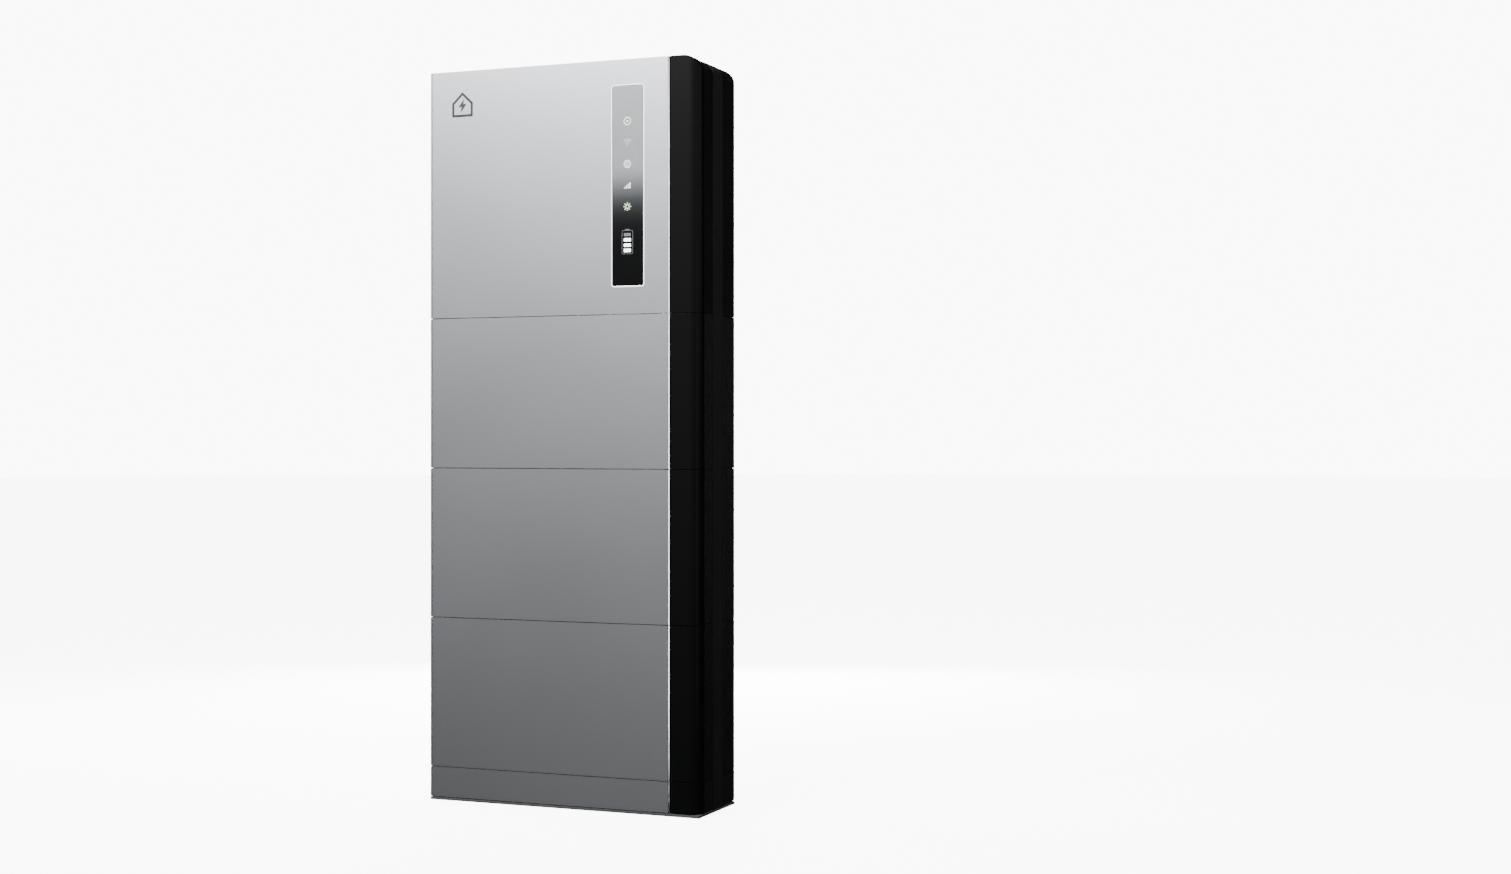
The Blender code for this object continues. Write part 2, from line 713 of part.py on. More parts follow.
def connectors():
    for number, (across, up) in enumerate(((0.024, 0.190), (0.058, 0.190), (0.024, 0.156), (0.058, 0.156))):
        round_connector(f"solar_connector_{number + 1}", across, up, 0.009, 0.026, "black_plastic")
    round_connector("grid_connector", 0.030, 0.095, 0.018, 0.026, "grey_plastic")
    round_connector("backup_connector", 0.082, 0.095, 0.018, 0.026, "grey_plastic")
    round_connector("comms_cap", 0.098, 0.173, 0.012, 0.016, "black_plastic")
    round_connector("earth_stud", 0.106, 0.063, 0.005, 0.014, "brass")
    y, z = bay_spot(0.098, 0.236)
    stick = upright(rounded(y - 0.013, y + 0.013, z - 0.034, z + 0.034, 0.005), GAP, 0.020)
    fuse(stick, upright(rounded(y - 0.009, y + 0.009, z - 0.028, z + 0.014, 0.003), 0.019, 0.0225))
    done(stick, "data_dongle", "grey_plastic")


def power_electronics():
    """The inverter's board and the heavy components on it, in front of the heat sink pocket."""
    board_back = BACK_Y - SINK_DEPTH - CASE_WALL - 0.006
    board_front = board_back - 0.0024
    board = box((-0.250, board_front, HEAD_Z + 0.045), (0.290, board_back, HEAD_Z + 0.470))
    for number in range(6):
        x = -0.230 + number * 0.085
        terminal_low = (x, board_front - 0.006, HEAD_Z + 0.420)
        fuse(board, box(terminal_low, (x + 0.060, board_front + 0.001, HEAD_Z + 0.450)))
        relay_low = (x + 0.010, board_front - 0.034, HEAD_Z + 0.076)
        fuse(board, box(relay_low, (x + 0.054, board_front + 0.001, HEAD_Z + 0.124)))
    done(board, "power_board", "circuit_board")
    face = board_front - GAP
    bank = box((-0.225, face - 0.006, HEAD_Z + 0.300), (0.015, face, HEAD_Z + 0.395))
    for column in range(5):
        for row in range(2):
            centre = (-0.198 + column * 0.046, HEAD_Z + 0.3263 + row * 0.0432)
            fuse(bank, prism(circle(centre, 0.0195, 14), "Y", face - 0.058, face - 0.0045))
    done(bank, "capacitor_bank", "black_plastic")
    for name, x, z in (("boost_inductor", -0.150, 0.200), ("grid_inductor", 0.010, 0.200)):
        centre = (x, HEAD_Z + z)
        coil = prism(circle(centre, 0.048, 20), "Y", face - 0.052, face)
        cut(coil, prism(circle(centre, 0.020, 12), "Y", face - 0.052 - OVERCUT, face - 0.006))
        done(coil, name, "copper")


def head_link_socket(low):
    """Socket on the head's floor for the top module's plug."""
    middle_y = (SHELL_BACK_Y + BACK_Y - REAR_WALL) / 2
    half_x = LINK_WIDTH / 2 + LINK_WALL
    half_y = LINK_DEPTH / 2 + LINK_WALL
    bottom = low + CASE_WALL + 0.001
    top = bottom + 0.034
    socket = box((LINK_X - half_x, middle_y - half_y, bottom), (LINK_X + half_x, middle_y + half_y, top))
    cut(socket, link_hole(bottom - OVERCUT, bottom + LINK_RISE, 0.001))
    return done(socket, "head_link_socket", "black_plastic")


def wall_bracket(name, height, half_length):
    """Z-shaped steel bracket between the housing's back and the wall, with screw holes."""
    sheet = 0.0025
    flange = 0.034
    tab = 0.028
    near = BACK_Y + GAP
    outline = [
        (near, height - tab), (near + sheet, height - tab), (near + sheet, height - sheet),
        (WALL_Y, height - sheet), (WALL_Y, height + flange), (WALL_Y - sheet, height + flange),
        (WALL_Y - sheet, height), (near, height),
    ]
    bracket = prism(outline, "X", -half_length, half_length)
    for side in (-1, 1):
        for share in (0.4, 0.85):
            centre = (side * share * half_length, height + flange * 0.55)
            cut(bracket, prism(circle(centre, 0.0042, 12), "Y", near - OVERCUT, WALL_Y + OVERCUT))
    return done(bracket, name, "zinc_steel")


def inverter_head():
    low = HEAD_Z + SEAM / 2
    panel = front_panel("head", low, TOP_Z)
    cut(panel, prism(display_outline(GAP), "Y", FRONT_Y - OVERCUT, FRONT_Y + SHELL_WALL + OVERCUT))
    side_trim("head", low, TOP_Z, is_head=True)
    head_case(HEAD_Z + GAP, TOP_Z - CASE_INSET)
    display()
    heat_sink()
    connection_bay()
    isolator()
    breaker()
    power_button()
    connectors()
    power_electronics()
    head_link_socket(HEAD_Z + GAP)


def main():
    clear_scene()
    plinth()
    for number in range(1, MODULE_COUNT + 1):
        battery_module(number)
    inverter_head()
    cover_strips()
    wall_bracket("wall_bracket_upper", TOP_Z - 0.055, 0.200)
    wall_bracket("wall_bracket_lower", HEAD_Z - 0.060, 0.200)


main()
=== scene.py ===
"""Looks of a stacked home battery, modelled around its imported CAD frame.

The file is laid out as an add-on and is run as a script. Lengths are in metres, in the frame's
axes: +X to the right along the front, the front facing -Y, +Z up from the floor.
"""
import math

import bmesh
import bpy
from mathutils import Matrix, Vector


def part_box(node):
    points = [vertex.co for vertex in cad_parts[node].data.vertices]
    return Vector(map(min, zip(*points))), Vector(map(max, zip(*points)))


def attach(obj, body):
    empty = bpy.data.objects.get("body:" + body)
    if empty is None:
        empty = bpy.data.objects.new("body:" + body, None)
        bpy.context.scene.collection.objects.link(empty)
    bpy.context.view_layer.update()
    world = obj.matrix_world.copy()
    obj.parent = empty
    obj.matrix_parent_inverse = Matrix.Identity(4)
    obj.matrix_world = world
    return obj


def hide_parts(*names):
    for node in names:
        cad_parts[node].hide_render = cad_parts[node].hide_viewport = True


bl_info = {
    "name": "Home battery stack",
    "version": (1, 0, 0),
    "blender": (4, 5, 0),
    "location": "View3D > Sidebar > Battery",
    "description": "Builds the visible pieces of a stacked home battery around its CAD frame",
    "category": "Object",
}

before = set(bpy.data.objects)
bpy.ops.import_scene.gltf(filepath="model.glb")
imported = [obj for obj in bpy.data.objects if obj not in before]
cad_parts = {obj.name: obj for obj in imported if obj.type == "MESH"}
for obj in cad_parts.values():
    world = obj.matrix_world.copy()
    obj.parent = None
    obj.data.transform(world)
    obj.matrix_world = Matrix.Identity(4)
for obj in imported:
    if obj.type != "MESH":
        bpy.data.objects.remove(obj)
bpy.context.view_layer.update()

TIERS = ("base", "module_1", "module_2", "module_3", "head")
MODULES = TIERS[1:4]
FEET = ("foot_front_left", "foot_front_right", "foot_rear_left", "foot_rear_right")
STACK = "stack"
SMALL = 1e-5
X, Y, Z = range(3)

# Sections and heights that several pieces share, read from the frame
PANEL_LOW, PANEL_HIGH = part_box("head_front_panel")
TRIM_LOW, TRIM_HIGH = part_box("head_side_trim")
CASE_LOW, CASE_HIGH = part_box("head_case")
BAY_LOW, BAY_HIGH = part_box("connection_bay")
SINK_LOW, SINK_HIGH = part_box("heat_sink")
GLASS_LOW, GLASS_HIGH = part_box("display_window")
FRONT_Y = PANEL_LOW.y
BACK_Y = CASE_HIGH.y
TOP_Z = TRIM_HIGH.z
BAY_WALL = 0.0025
BAY_FLOOR_X = BAY_HIGH.x - BAY_WALL

# Fixed shapes of the housings, as in the frame
CORNER_RADIUS = 0.025
HEAD_SIDE_RADIUS = 0.036
HEAD_REAR_RADIUS = 0.019
CASE_WALL = 0.004
REAR_WALL = 0.012
STRIP_ZONE = (0.079, 0.129)
STRIP_RECESS = 0.0025
RIB_ZONES = ((0.0335, 0.0775), (0.1325, 0.1945))

# How far cutters reach past the faces that they cut, and how far print lies over and in a face
PAST = 0.004
PRINT_PROUD = 0.00015
PRINT_SUNK = 0.0001


# ---------------------------------------------------------------- settings


class BatterySizes(bpy.types.PropertyGroup):
    """Sizes that change how the stack looks without changing its frame."""

    panel_edge: bpy.props.FloatProperty(
        name="Panel edge", description="Rounding of the front panels' edges",
        default=0.0014, min=0.0002, max=0.002, unit="LENGTH",
    )
    trim_edge: bpy.props.FloatProperty(
        name="Trim edge", description="Rounding of the corner trims' edges",
        default=0.0006, min=0.0002, max=0.002, unit="LENGTH",
    )
    rib_pitch: bpy.props.FloatProperty(
        name="Rib pitch", description="Distance between the grooves in the housings' sides",
        default=0.0072, min=0.004, max=0.02, unit="LENGTH",
    )
    rib_depth: bpy.props.FloatProperty(
        name="Rib depth", description="Depth of the grooves in the housings' sides",
        default=0.0016, min=0.0004, max=0.002, unit="LENGTH",
    )
    icon_size: bpy.props.FloatProperty(
        name="Symbol size", description="Width of a symbol on the display",
        default=0.0180, min=0.008, max=0.03, unit="LENGTH",
    )


class BatteryColours(bpy.types.PropertyGroup):
    """Colours of the stack's finishes, as sRGB hex codes."""

    silver: bpy.props.StringProperty(
        name="Silver", description="Anodised front panels", default="#D3D5D9")
    gloss_black: bpy.props.StringProperty(
        name="Gloss black", description="Moulded corner trims", default="#151515")
    housing: bpy.props.StringProperty(
        name="Housing", description="Powder-coated housings", default="#101011")
    plate: bpy.props.StringProperty(
        name="Base plate", description="Powder-coated base plate", default="#6E7071")
    lit: bpy.props.StringProperty(
        name="Lit symbols", description="Lamps behind the display's symbols", default="#E8ECEE")
    knob: bpy.props.StringProperty(
        name="Isolator knob", description="Moulded nylon knob", default="#A81712")


def sizes():
    return bpy.context.scene.battery_sizes


def colours():
    return bpy.context.scene.battery_colours


# ---------------------------------------------------------------- modelling by hand


def rest():
    """Leave edit mode and deselect everything."""
    active = bpy.context.view_layer.objects.active
    if active and active.mode != "OBJECT":
        bpy.ops.object.mode_set(mode="OBJECT")
    bpy.ops.object.select_all(action="DESELECT")


def take(piece):
    """Select one piece alone and make it the active one."""
    rest()
    piece.select_set(True)
    bpy.context.view_layer.objects.active = piece
    return piece


def edit(piece):
    take(piece)
    bpy.ops.object.mode_set(mode="EDIT")


def settle(piece, name):
    """Name a new primitive and put its place into its mesh."""
    piece.name = name
    piece.data.name = name
    take(piece)
    bpy.ops.object.transform_apply(location=True, rotation=True, scale=True)
    return piece


def block(low, high, name="step"):
    """Start from a cube that fills the box between two corners."""
    rest()
    low, high = Vector(low), Vector(high)
    bpy.ops.mesh.primitive_cube_add(size=1.0, location=(low + high) / 2, scale=high - low)
    return settle(bpy.context.object, name)


def turned(axis):
    return {"X": (0, math.pi / 2, 0), "Y": (math.pi / 2, 0, 0), "Z": (0, 0, 0)}[axis]


def rod(centre, radius, length, axis, sides=32, name="step"):
    """Start from a cylinder along an axis, around its middle."""
    rest()
    bpy.ops.mesh.primitive_cylinder_add(
        vertices=sides, radius=radius, depth=length, location=centre, rotation=turned(axis),
    )
    return settle(bpy.context.object, name)


def place(axis, first, second, along):
    """A section's point in space: the section lies across the axis that it is extruded along."""
    if axis == "X":
        return Vector((along, first, second))
    if axis == "Y":
        return Vector((first, along, second))
    return Vector((first, second, along))


def draw(points, axis, low, high, name="step"):
    """Draw a section point by point from a plane merged to one vertex, fill it and extrude it."""
    rest()
    bpy.ops.mesh.primitive_plane_add(size=0.01)
    piece = bpy.context.object
    bpy.ops.object.mode_set(mode="EDIT")
    bpy.ops.mesh.select_mode(type="VERT")
    bpy.ops.mesh.select_all(action="SELECT")
    bpy.ops.mesh.merge(type="CENTER")
    spots = [place(axis, a, b, low) for a, b in points]
    bpy.ops.transform.translate(value=spots[0])
    for here, there in zip(spots, spots[1:]):
        bpy.ops.mesh.extrude_vertices_move(TRANSFORM_OT_translate={"value": there - here})
    bpy.ops.mesh.select_all(action="SELECT")
    bpy.ops.mesh.edge_face_add()
    bpy.ops.mesh.extrude_region_move(
        TRANSFORM_OT_translate={"value": place(axis, 0.0, 0.0, high - low)}
    )
    bpy.ops.mesh.select_all(action="SELECT")
    bpy.ops.mesh.normals_make_consistent(inside=False)
    bpy.ops.object.mode_set(mode="OBJECT")
    return settle(piece, name)


def arc(centre, radius, start, end, steps):
    """Points on an arc, angles in degrees."""
    points = []
    for step in range(steps + 1):
        angle = math.radians(start + (end - start) * step / steps)
        points.append((centre[0] + radius * math.cos(angle), centre[1] + radius * math.sin(angle)))
    return points


def rounded(a0, a1, b0, b1, radius, steps=6):
    """Section of a rectangle with four round corners."""
    corners = (
        ((a1 - radius, b0 + radius), -90),
        ((a1 - radius, b1 - radius), 0),
        ((a0 + radius, b1 - radius), 90),
        ((a0 + radius, b0 + radius), 180),
    )
    return [p for centre, start in corners for p in arc(centre, radius, start, start + 90, steps)]


def middle(item):
    """Middle of an edit-mode edge or face."""
    return sum((v.co for v in item.verts), Vector()) / len(item.verts)


def pick(kind, test):
    """In edit mode, select only the faces or edges that pass a test."""
    bpy.ops.mesh.select_mode(type=kind)
    bpy.ops.mesh.select_all(action="DESELECT")
    mesh = bpy.context.object.data
    shape = bmesh.from_edit_mesh(mesh)
    for item in shape.faces if kind == "FACE" else shape.edges:
        if test(item):
            item.select_set(True)
    bmesh.update_edit_mesh(mesh)


def runs(axis):
    """Test for the edges that run along an axis."""
    return lambda edge: abs(edge.verts[0].co[axis] - edge.verts[1].co[axis]) > 0.001


def lies(axis, level):
    """Test for the edges or faces that lie at one level of an axis."""
    return lambda item: all(abs(v.co[axis] - level) < SMALL for v in item.verts)


def bevel(piece, test, width, segments=2, finish=-1):
    """Bevel the edges of a piece that pass a test; finish is the material slot of the new faces."""
    edit(piece)
    pick("EDGE", test)
    bpy.ops.mesh.bevel(
        offset=width, segments=segments, affect="EDGES", clamp_overlap=True, material=finish,
    )
    bpy.ops.object.mode_set(mode="OBJECT")
    return piece


def push(piece, test, shift, inset=0.0):
    """Inset the faces of a piece that pass a test, if asked to, and extrude them by a shift."""
    edit(piece)
    pick("FACE", test)
    if inset:
        bpy.ops.mesh.inset(thickness=inset, depth=0.0)
    bpy.ops.mesh.extrude_region_move(TRANSFORM_OT_translate={"value": shift})
    bpy.ops.object.mode_set(mode="OBJECT")
    return piece


def modify(piece, kind, **settings):
    """Add a modifier to a piece and apply it."""
    modifier = piece.modifiers.new("step", kind)
    for name, value in settings.items():
        setattr(modifier, name, value)
    take(piece)
    bpy.ops.object.modifier_apply(modifier="step")
    return piece


def carve(piece, *cutters, operation="DIFFERENCE"):
    """Cut the cutters' shapes out of a piece, or fuse them to it, and drop the cutters."""
    for cutter in cutters:
        modify(piece, "BOOLEAN", operation=operation, object=cutter, solver="EXACT")
        bpy.data.objects.remove(cutter)
    return piece


def soften(piece, width, segments=2, angle=25):
    """Round every edge that is sharper than an angle in degrees."""
    return modify(
        piece, "BEVEL", width=width, segments=segments, limit_method="ANGLE",
        angle_limit=math.radians(angle), use_clamp_overlap=True,
    )


def thread(stem, axis, levels, roots, middle_line):
    """Cut rings round a rod at some levels and pull the thread's roots in to the middle line."""
    edit(stem)
    along = Vector([float(number == axis) for number in range(3)])
    for level in levels:
        bpy.ops.mesh.select_all(action="SELECT")
        bpy.ops.mesh.bisect(plane_co=along * level, plane_no=along)
    pick("EDGE", lambda edge: any(lies(axis, root)(edge) for root in roots))
    narrow = [1.0 if number == axis else 0.86 for number in range(3)]
    bpy.ops.transform.resize(value=narrow, center_override=middle_line)
    bpy.ops.object.mode_set(mode="OBJECT")
    return stem


def twin(piece, shift, name="step"):
    """A copy of a piece, with its own mesh, moved by a shift."""
    copy = piece.copy()
    copy.data = piece.data.copy()
    copy.name = name
    bpy.context.scene.collection.objects.link(copy)
    copy.location = shift
    return settle(copy, name)


def join(pieces, name):
    """Join pieces of one finish into one object."""
    take(pieces[0])
    for piece in pieces[1:]:
        piece.select_set(True)
    bpy.ops.object.join()
    joined = bpy.context.object
    joined.name = name
    joined.data.name = name
    return joined


def refined(node, name, width, segments=2):
    """A copy of a CAD node's mesh, welded, without needless edges and with sharp ones rounded."""
    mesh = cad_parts[node].data.copy()
    mesh.materials.clear()
    piece = bpy.data.objects.new(name, mesh)
    mesh.name = name
    bpy.context.scene.collection.objects.link(piece)
    edit(piece)
    bpy.ops.mesh.select_mode(type="VERT")
    bpy.ops.mesh.select_all(action="SELECT")
    bpy.ops.mesh.customdata_custom_splitnormals_clear()
    bpy.ops.mesh.remove_doubles(threshold=SMALL)
    bpy.ops.mesh.dissolve_limited(angle_limit=math.radians(1))
    bpy.ops.object.mode_set(mode="OBJECT")
    return soften(piece, width, segments)


def show(piece, material, body=STACK, nodes=(), angle=32):
    """Finish a piece: its shading, material, body and the CAD nodes that it stands for."""
    take(piece)
    bpy.ops.object.shade_smooth_by_angle(angle=math.radians(angle))
    modify(piece, "WEIGHTED_NORMAL", keep_sharp=True, weight=90)
    if not piece.data.materials:
        piece.data.materials.append(material)
    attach(piece, body)
    if nodes:
        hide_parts(*nodes)
    return piece


# ---------------------------------------------------------------- materials


def linear(code):
    """Linear RGBA of an sRGB hex colour."""
    shares = [int(code[i:i + 2], 16) / 255 for i in (1, 3, 5)]
    return (*(c / 12.92 if c <= 0.04045 else ((c + 0.055) / 1.055) ** 2.4 for c in shares), 1.0)


def add_node(material, kind, inputs=None, **settings):
    """Add a node to a material or world, with its settings, and its inputs' values or links."""
    tree = material.node_tree
    node = tree.nodes.new(kind)
    for name, value in settings.items():
        setattr(node, name, value)
    for name, value in (inputs or {}).items():
        if isinstance(value, bpy.types.NodeSocket):
            tree.links.new(value, node.inputs[name])
        else:
            node.inputs[name].default_value = value
    return node


def shader_of(material):
    return material.node_tree.nodes["Principled BSDF"]


def feed(material, **links):
    """Link outputs to the shader's sockets, named with _ for a space."""
    sockets = shader_of(material).inputs
    for name, output in links.items():
        material.node_tree.links.new(output, sockets[name.replace("_", " ")])


def surface(
    name, colour, tint, rough, grain, depth, cloud,
    metallic=0.0, ior=None, stretch=(1, 1, 1), **more,
):
    """A finish with a fine grain in its relief and a slow drift in its colour and gloss.

    colour and tint are the ends of the drift, rough the ends of the roughness, grain and cloud the
    size in metres of the fine and the slow pattern, depth the relief's height in metres. A finish
    that adds its own colour or relief gives None for tint or depth.
    """
    if name in bpy.data.materials:
        return bpy.data.materials[name]
    material = bpy.data.materials.new(name)
    material.use_nodes = True
    shader = shader_of(material)
    shader.inputs["Metallic"].default_value = metallic
    if ior:
        shader.inputs["IOR"].default_value = ior
    for socket, value in more.items():
        shader.inputs[socket.replace("_", " ")].default_value = value
    spot = add_node(material, "ShaderNodeTexCoord").outputs["Object"]
    slow = add_node(
        material, "ShaderNodeTexNoise", {"Vector": spot, "Scale": 1 / cloud, "Detail": 3.0},
    ).outputs["Fac"]
    drift = add_node(
        material, "ShaderNodeMapRange", {"Value": slow, "From Min": 0.3, "From Max": 0.7},
    ).outputs[0]
    gloss = add_node(
        material, "ShaderNodeMapRange", {"Value": drift, "To Min": rough[0], "To Max": rough[1]},
    )
    feed(material, Roughness=gloss.outputs[0])
    if tint:
        mixed = add_node(
            material, "ShaderNodeMix", {0: drift, 6: linear(colour), 7: linear(tint)},
            data_type="RGBA",
        )
        feed(material, Base_Color=mixed.outputs[2])
    if depth:
        along = add_node(
            material, "ShaderNodeMapping", {"Vector": spot, "Scale": stretch},
        ).outputs[0]
        fine = add_node(
            material, "ShaderNodeTexNoise", {"Vector": along, "Scale": 1 / grain, "Detail": 2.0},
        ).outputs["Fac"]
        feed(material, Normal=relief_of(material, fine, depth))
    return material


def relief_of(material, height, depth):
    """Normals of a relief, from a height pattern and its depth in metres."""
    return add_node(
        material, "ShaderNodeBump", {"Height": height, "Strength": 1.0, "Distance": depth},
    ).outputs[0]


def anodised_silver():
    # Bead-blasted, clear-anodised aluminium: an even satin metal without streaks. The 0.1 mm
    # blasting grain is drawn at 0.8 mm, so that it shows, and a slow drift in gloss keeps the large
    # faces from looking flat.
    return surface(
        "anodised_silver_aluminium", colours().silver, "#CDCFD4", (0.43, 0.47),
        0.0008, 0.00001, 0.35, metallic=0.82,
    )


def bright_cut():
    # Diamond-cut aluminium: the anodised skin is milled off along the edges, which leaves a thin,
    # bright, almost mirror-like line round each panel.
    return surface(
        "diamond_cut_aluminium_edge", "#E6E8EB", "#DFE1E4", (0.16, 0.20), 0.0006, 0.000004, 0.05,
        metallic=1.0,
    )


def gloss_abs():
    # Black ABS, moulded in a smooth tool: a dark, soft gloss, broken a little by the slight
    # waviness that a moulded wall has every few centimetres.
    return surface(
        "moulded_gloss_black_abs", colours().gloss_black, "#141414", (0.32, 0.36),
        0.030, 0.00002, 0.2, ior=1.53, Specular_IOR_Level=0.05,
    )


def powder_black():
    # Black polyester powder coat on cast aluminium: fine orange peel about 1.5 mm across, which
    # spreads its highlights.
    return surface(
        "powder_coated_black_housing", colours().housing, "#131314", (0.46, 0.54),
        0.0015, 0.00003, 0.12, ior=1.5,
    )


def strip_black():
    # Matt black moulded ABS with a fine spark-eroded grain of 0.6 mm: a touch lighter and more even
    # than the coated housings beside it.
    return surface(
        "moulded_matt_black_strip", "#2B2B2B", "#2D2D2E", (0.5, 0.56), 0.0006, 0.00002, 0.15,
        ior=1.53,
    )


def rubber():
    # Black EPDM rubber, extruded: dull, with a fine bloom that drifts over a few centimetres.
    return surface(
        "extruded_epdm_rubber", "#0B0B0B", "#0F0F0F", (0.75, 0.85), 0.001, 0.00002, 0.03, ior=1.52,
    )


def plate_grey():
    # Mid grey powder coat on laser-cut steel plate, coarser than on the housings: a 2 mm peel.
    return surface(
        "powder_coated_steel_plate", colours().plate, "#676869", (0.42, 0.52), 0.002, 0.00004, 0.09,
        ior=1.5,
    )


def zinc():
    # Bright zinc plate on pressed steel: a cool metal with a cloudy, faintly yellowish passivation.
    return surface(
        "zinc_plated_steel", "#B9BCBE", "#AFAEA6", (0.28, 0.45), 0.0012, 0.00002, 0.035,
        metallic=1.0,
    )


def extruded_aluminium():
    # Aluminium as it leaves the extrusion die: fine lines 0.5 mm apart that run along Z.
    return surface(
        "as_extruded_aluminium", "#A9ABAD", "#98999B", (0.36, 0.5), 0.0005, 0.00002, 0.06,
        metallic=1.0, stretch=(1.0, 1.0, 0.016),
    )


def nylon_black():
    # Glass-filled black nylon: fibres at the surface leave 0.8 mm flecks that dull its gloss.
    return surface(
        "glass_filled_black_nylon", "#151516", "#1D1D1E", (0.5, 0.66), 0.0008, 0.00003, 0.012,
        ior=1.53,
    )


def grey_abs():
    # Light grey moulded ABS with a satin, fine-grained face.
    return surface(
        "moulded_grey_abs", "#7D8082", "#777A7C", (0.4, 0.48), 0.0007, 0.00002, 0.05, ior=1.53,
    )


def knob_nylon():
    # Red moulded nylon: satin, with a slightly deeper red where the melt met.
    return surface(
        "moulded_red_nylon", colours().knob, "#9A120F", (0.36, 0.44), 0.0009, 0.00002, 0.02,
        ior=1.53, Subsurface_Weight=0.02,
    )


def button_black():
    # Polished black polycarbonate: the glossiest of the black pieces, with hairline rub marks.
    return surface(
        "polished_black_polycarbonate", "#0C0C0D", "#101011", (0.1, 0.2), 0.0004, 0.000005, 0.004,
        ior=1.58,
    )


def turned_brass():
    # Turned brass: warm metal with fine rings from the tool, dulled in patches by handling.
    return surface(
        "turned_brass", "#C9A45A", "#B08D48", (0.24, 0.4), 0.0006, 0.00002, 0.004, metallic=1.0,
        stretch=(6.0, 0.2, 0.2),
    )


def badge_ink():
    # Pad-printed dark grey ink: a thin satin film, mottled at the 2 mm scale of the printing pad.
    return surface(
        "pad_printed_dark_ink", "#2C2D30", "#303134", (0.4, 0.5), 0.002, 0.00001, 0.01, ior=1.48,
    )


def cell_film():
    # Blue PET film shrunk on the cells: glossy, with soft wrinkles some 15 mm long.
    return surface(
        "blue_pet_cell_film", "#2A5C96", "#234F84", (0.2, 0.34), 0.006, 0.0003, 0.05,
        ior=1.58, stretch=(1.0, 1.0, 0.4),
    )


def coil_enamel():
    # Enamelled copper wire wound side by side: 1.6 mm turns under a clear orange-brown enamel.
    material = surface(
        "enamelled_copper_winding", "#B4642F", "#9C5225", (0.24, 0.34), 0.001, None, 0.02,
        metallic=0.9,
    )
    turns = add_node(
        material, "ShaderNodeTexWave",
        {"Vector": add_node(material, "ShaderNodeTexCoord").outputs["Object"], "Scale": 31.0},
        bands_direction="Y",
    )
    feed(material, Normal=relief_of(material, turns.outputs["Fac"], 0.0004))
    return material


def board_green():
    # Green solder mask on FR4: tracks show through as a slightly lighter grid on a 2.5 mm pitch.
    material = surface(
        "green_solder_mask_board", None, None, (0.28, 0.42), 0.0025, 0.00003, 0.02, ior=1.5,
    )
    spot = add_node(material, "ShaderNodeTexCoord").outputs["Object"]
    facing = add_node(
        material, "ShaderNodeMapping", {"Vector": spot, "Rotation": (math.pi / 2, 0.0, 0.0)},
    )
    grid = add_node(
        material, "ShaderNodeTexBrick",
        {
            "Vector": facing.outputs[0],
            "Color1": linear("#0F5A34"), "Color2": linear("#11653B"), "Mortar": linear("#1C7A49"),
            "Scale": 100.0, "Mortar Size": 0.06, "Brick Width": 1.0, "Row Height": 0.25,
        },
    )
    feed(material, Base_Color=grid.outputs["Color"])
    return material


def capacitor_sleeve():
    # Black heat-shrunk PVC sleeves: soft gloss with faint upright wrinkles.
    return surface(
        "black_pvc_sleeve", "#1A1B1E", "#202125", (0.26, 0.36), 0.002, 0.00005, 0.03,
        ior=1.54, stretch=(1.0, 0.3, 1.0),
    )


# The print's tone down the display glass, from its top (0) to its bottom (1)
GLASS_TONES = (
    (0.0, "#A1A5A9"), (0.40, "#AEB2B5"), (0.445, "#9C9FA2"), (0.485, "#828587"),
    (0.525, "#66686A"), (0.565, "#4A4C4E"), (0.605, "#343537"), (0.645, "#232425"),
    (0.69, "#151516"), (0.73, "#0F0F10"), (0.78, "#0A0A0B"), (1.0, "#080809"),
)


def printed_glass():
    # Back-printed toughened glass: a silver print above that fades to black below, under a
    # clear, hard gloss. The fade is a 0.4 mm dot screen, fine enough to read as a smooth tone.
    material = surface(
        "back_printed_display_glass", None, None, (0.38, 0.42), 0.02, 0.00001, 0.2,
        ior=1.52, Coat_Weight=0.25, Coat_Roughness=0.06, Specular_IOR_Level=0.1,
    )
    spot = add_node(material, "ShaderNodeTexCoord").outputs["Object"]
    height = add_node(material, "ShaderNodeSeparateXYZ", {"Vector": spot}).outputs["Z"]
    down = add_node(
        material, "ShaderNodeMapRange",
        {"Value": height, "From Min": GLASS_HIGH.z - 0.004, "From Max": GLASS_LOW.z + 0.004},
    ).outputs[0]
    fade = add_node(material, "ShaderNodeValToRGB", {"Fac": down})
    ramp = fade.color_ramp
    ramp.elements[0].color = linear(GLASS_TONES[0][1])
    ramp.elements[1].color = linear(GLASS_TONES[-1][1])
    for share, code in GLASS_TONES[1:-1]:
        ramp.elements.new(share).color = linear(code)
    metal = add_node(
        material, "ShaderNodeMapRange",
        {"Value": down, "From Min": 0.4, "From Max": 0.72, "To Min": 0.75, "To Max": 0.0},
    )
    feed(material, Base_Color=fade.outputs["Color"], Metallic=metal.outputs[0])
    return material


def lamp(name, code, tint, strength):
    # Translucent print or lens over a lamp: an even glow, slightly patchy over the lamp's chip. A
    # strength of 0 is plain print. The glowing rim round the display's opening is made with it as
    # well, and there the glow is a painted highlight, not a lamp.
    material = surface(name, code, tint, (0.4, 0.5), 0.003, 0.000005, 0.006, ior=1.5)
    shader_of(material).inputs["Emission Color"].default_value = linear(code)
    shader_of(material).inputs["Emission Strength"].default_value = strength
    return material


# ---------------------------------------------------------------- front shell

PANEL_WALL = 0.003
PANEL_CHAMFER = 0.003
PANEL_RADIUS = 0.003
PANEL_GROOVE = (0.0055, 0.0071)
PANEL_GROOVE_DEEP = 0.0018
TRIM_RECESS = 0.010
BRIGHT = 1

